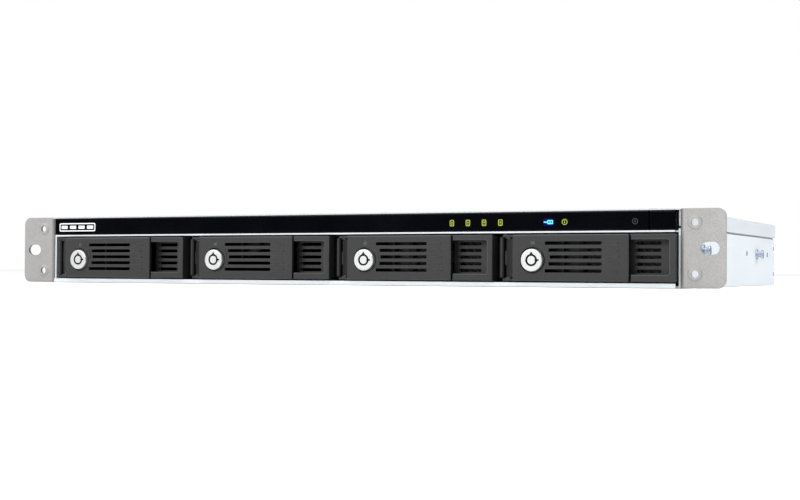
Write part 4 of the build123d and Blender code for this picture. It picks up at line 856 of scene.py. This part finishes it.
class RACK_OT_band_mark(Operator):
    """Plain white pictogram of a four-bay unit at the band's left end"""
    bl_idname = "rack.band_mark"
    bl_label = "Band pictogram"

    def execute(self, context):
        ink = printed_finish("White ink", (0.82, 0.82, 0.82))
        width, height, line = 30.0 * MM, 5.6 * MM, 0.75 * MM
        left_gap, cell_gap, end_gap = 3.8 * MM, 2.0 * MM, 3.4 * MM
        middle = Vector((PANEL_LOW.x + left_gap + width / 2, PANEL_LOW.y - PRINT_DEPTH, SIGN_Z))
        pieces = [upright_frame(middle, width, height, corner=1.1 * MM, line=line)]
        cell = (width - 2 * line) / BAYS
        for bay in range(BAYS):
            at = middle + Vector(((bay - (BAYS - 1) / 2) * cell, 0, 0))
            pieces.append(upright_solid(at, cell - cell_gap, height - end_gap, corner=0.4 * MM))
        join_pieces(pieces)
        settle("unit_pictogram", "chassis", ink)
        return {"FINISHED"}


class RACK_OT_stage(Operator):
    """Pale floor, soft lights and the camera"""
    bl_idname = "rack.stage"
    bl_label = "Stage"

    def execute(self, context):
        look = settings().stage
        bpy.ops.object.select_all(action="DESELECT")
        bpy.ops.mesh.primitive_plane_add(size=FLOOR_SIZE, location=(0, 0, CAD_BOX[0].z - FLOOR_DROP))
        floor = bpy.context.object
        floor.name = "floor"
        paper = Finish("Floor paper")
        cloud = paper.w.noise(paper.place, 3.0, 2.0)
        tone = look.floor_tone
        paper.colour(paper.w.mix(cloud, (tone, tone, tone, 1), (tone * 1.02, tone * 1.02, tone * 1.02, 1)))
        paper.shader.inputs["Roughness"].default_value = 0.9
        paper.shader.inputs["Specular IOR Level"].default_value = 0.1
        floor.data.materials.append(paper.material)
        self.lights()
        self.room()
        self.camera(look)
        return {"FINISHED"}

    def lights(self):
        """Soft overhead sun, a side bank for the right wall, and a front fill from the left."""
        sun = bpy.data.lights.new("soft sun", "SUN")
        sun.energy = 3.6
        sun.angle = math.radians(110)
        self.hang(sun, "soft sun", (-0.55, -0.9, 1.9), (0, 0, 0))
        self.bank("right bank", at=(1.5, 0.30, 1.15), aim=(0.2, 0.10, 0.02), width=1.1, height=0.7,
                  power=30.0, tint=(0.94, 0.975, 1.0))
        self.bank("front fill", at=(-0.9, -2.2, 0.9), aim=(0.0, 0.0, 0.02), width=1.4, height=0.8,
                  power=16.0, tint=(1.0, 0.99, 0.97))

    def bank(self, name, at, aim, width, height, power, tint):
        """A soft rectangular light."""
        light = bpy.data.lights.new(name, "AREA")
        light.shape = "RECTANGLE"
        light.size, light.size_y = width, height
        light.energy = power
        light.color = tint
        self.hang(light, name, at, aim)

    def room(self):
        """A room that is white to the camera and lights the unit only a little."""
        world = bpy.data.worlds.new("Soft room")
        world.use_nodes = True
        w = Wiring(world.node_tree)
        seen = world.node_tree.nodes["Background"]
        seen.inputs["Color"].default_value = (1, 1, 1, 1)
        seen.inputs["Strength"].default_value = 1.0
        faint = w.add("ShaderNodeBackground")
        faint.inputs["Color"].default_value = (0.90, 0.95, 1.0, 1)
        faint.inputs["Strength"].default_value = 0.12
        path = w.add("ShaderNodeLightPath")
        both = w.add("ShaderNodeMixShader")
        w.join(path.outputs["Is Camera Ray"], both.inputs[0])
        w.join(faint.outputs[0], both.inputs[1])
        w.join(seen.outputs[0], both.inputs[2])
        w.join(both.outputs[0], world.node_tree.nodes["World Output"].inputs["Surface"])
        bpy.context.scene.world = world
        bpy.context.scene.view_settings.view_transform = "Standard"

    def hang(self, light, name, at, aim):
        """Places a light and turns it to a point."""
        lamp = bpy.data.objects.new(name, light)
        lamp.location = at
        lamp.rotation_euler = (Vector(aim) - Vector(at)).to_track_quat("-Z", "Y").to_euler()
        bpy.context.scene.collection.objects.link(lamp)

    def camera(self, look):
        """Camera at its place, turned, tilted and rolled."""
        ahead = Vector((-math.sin(look.turn) * math.cos(look.tilt), math.cos(look.turn) * math.cos(look.tilt),
                        math.sin(look.tilt)))
        level = Vector((math.cos(look.turn), math.sin(look.turn), 0))
        top = level.cross(ahead)
        right = math.cos(look.roll) * level + math.sin(look.roll) * top
        up = -math.sin(look.roll) * level + math.cos(look.roll) * top
        data = bpy.data.cameras.new("camera")
        data.lens = look.lens
        data.sensor_width = 36.0
        data.clip_start, data.clip_end = 0.01, 100.0
        camera = bpy.data.objects.new("camera", data)
        turned = Matrix((right, up, -ahead)).transposed().to_4x4()
        turned.translation = Vector(look.camera_at)
        camera.matrix_world = turned
        bpy.context.scene.collection.objects.link(camera)
        bpy.context.scene.camera = camera


OPERATORS = (
    RACK_OT_shared_groups,
    RACK_OT_finish_case,
    RACK_OT_finish_ears,
    RACK_OT_finish_band,
    RACK_OT_finish_trays,
    RACK_OT_finish_fittings,
    RACK_OT_drive_signs,
    RACK_OT_other_signs,
    RACK_OT_band_mark,
    RACK_OT_stage,
)


class RACK_PT_panel(Panel):
    """Lists the unit's operators and settings"""
    bl_idname = "RACK_PT_panel"
    bl_label = "Rack unit"
    bl_space_type = "VIEW_3D"
    bl_region_type = "UI"
    bl_category = "Rack unit"

    def draw(self, context):
        for operator in OPERATORS:
            self.layout.operator(operator.bl_idname)
        looks = context.scene.rack_unit
        for group in (looks.sheet, looks.ear, looks.band, looks.tray, looks.stage):
            box = self.layout.box()
            for name in group.__annotations__:
                box.prop(group, name)


CLASSES = (RackSheetLook, RackEarLook, RackBandLook, RackTrayLook, RackStageLook, RackUnitSettings,
           *OPERATORS, RACK_PT_panel)


def register():
    for cls in CLASSES:
        bpy.utils.register_class(cls)
    bpy.types.Scene.rack_unit = PointerProperty(type=RackUnitSettings)


def unregister():
    del bpy.types.Scene.rack_unit
    for cls in reversed(CLASSES):
        bpy.utils.unregister_class(cls)


def main():
    register()
    for operator in OPERATORS:
        family, name = operator.bl_idname.split(".")
        getattr(getattr(bpy.ops, family), name)()


if __name__ == "__main__":
    main()
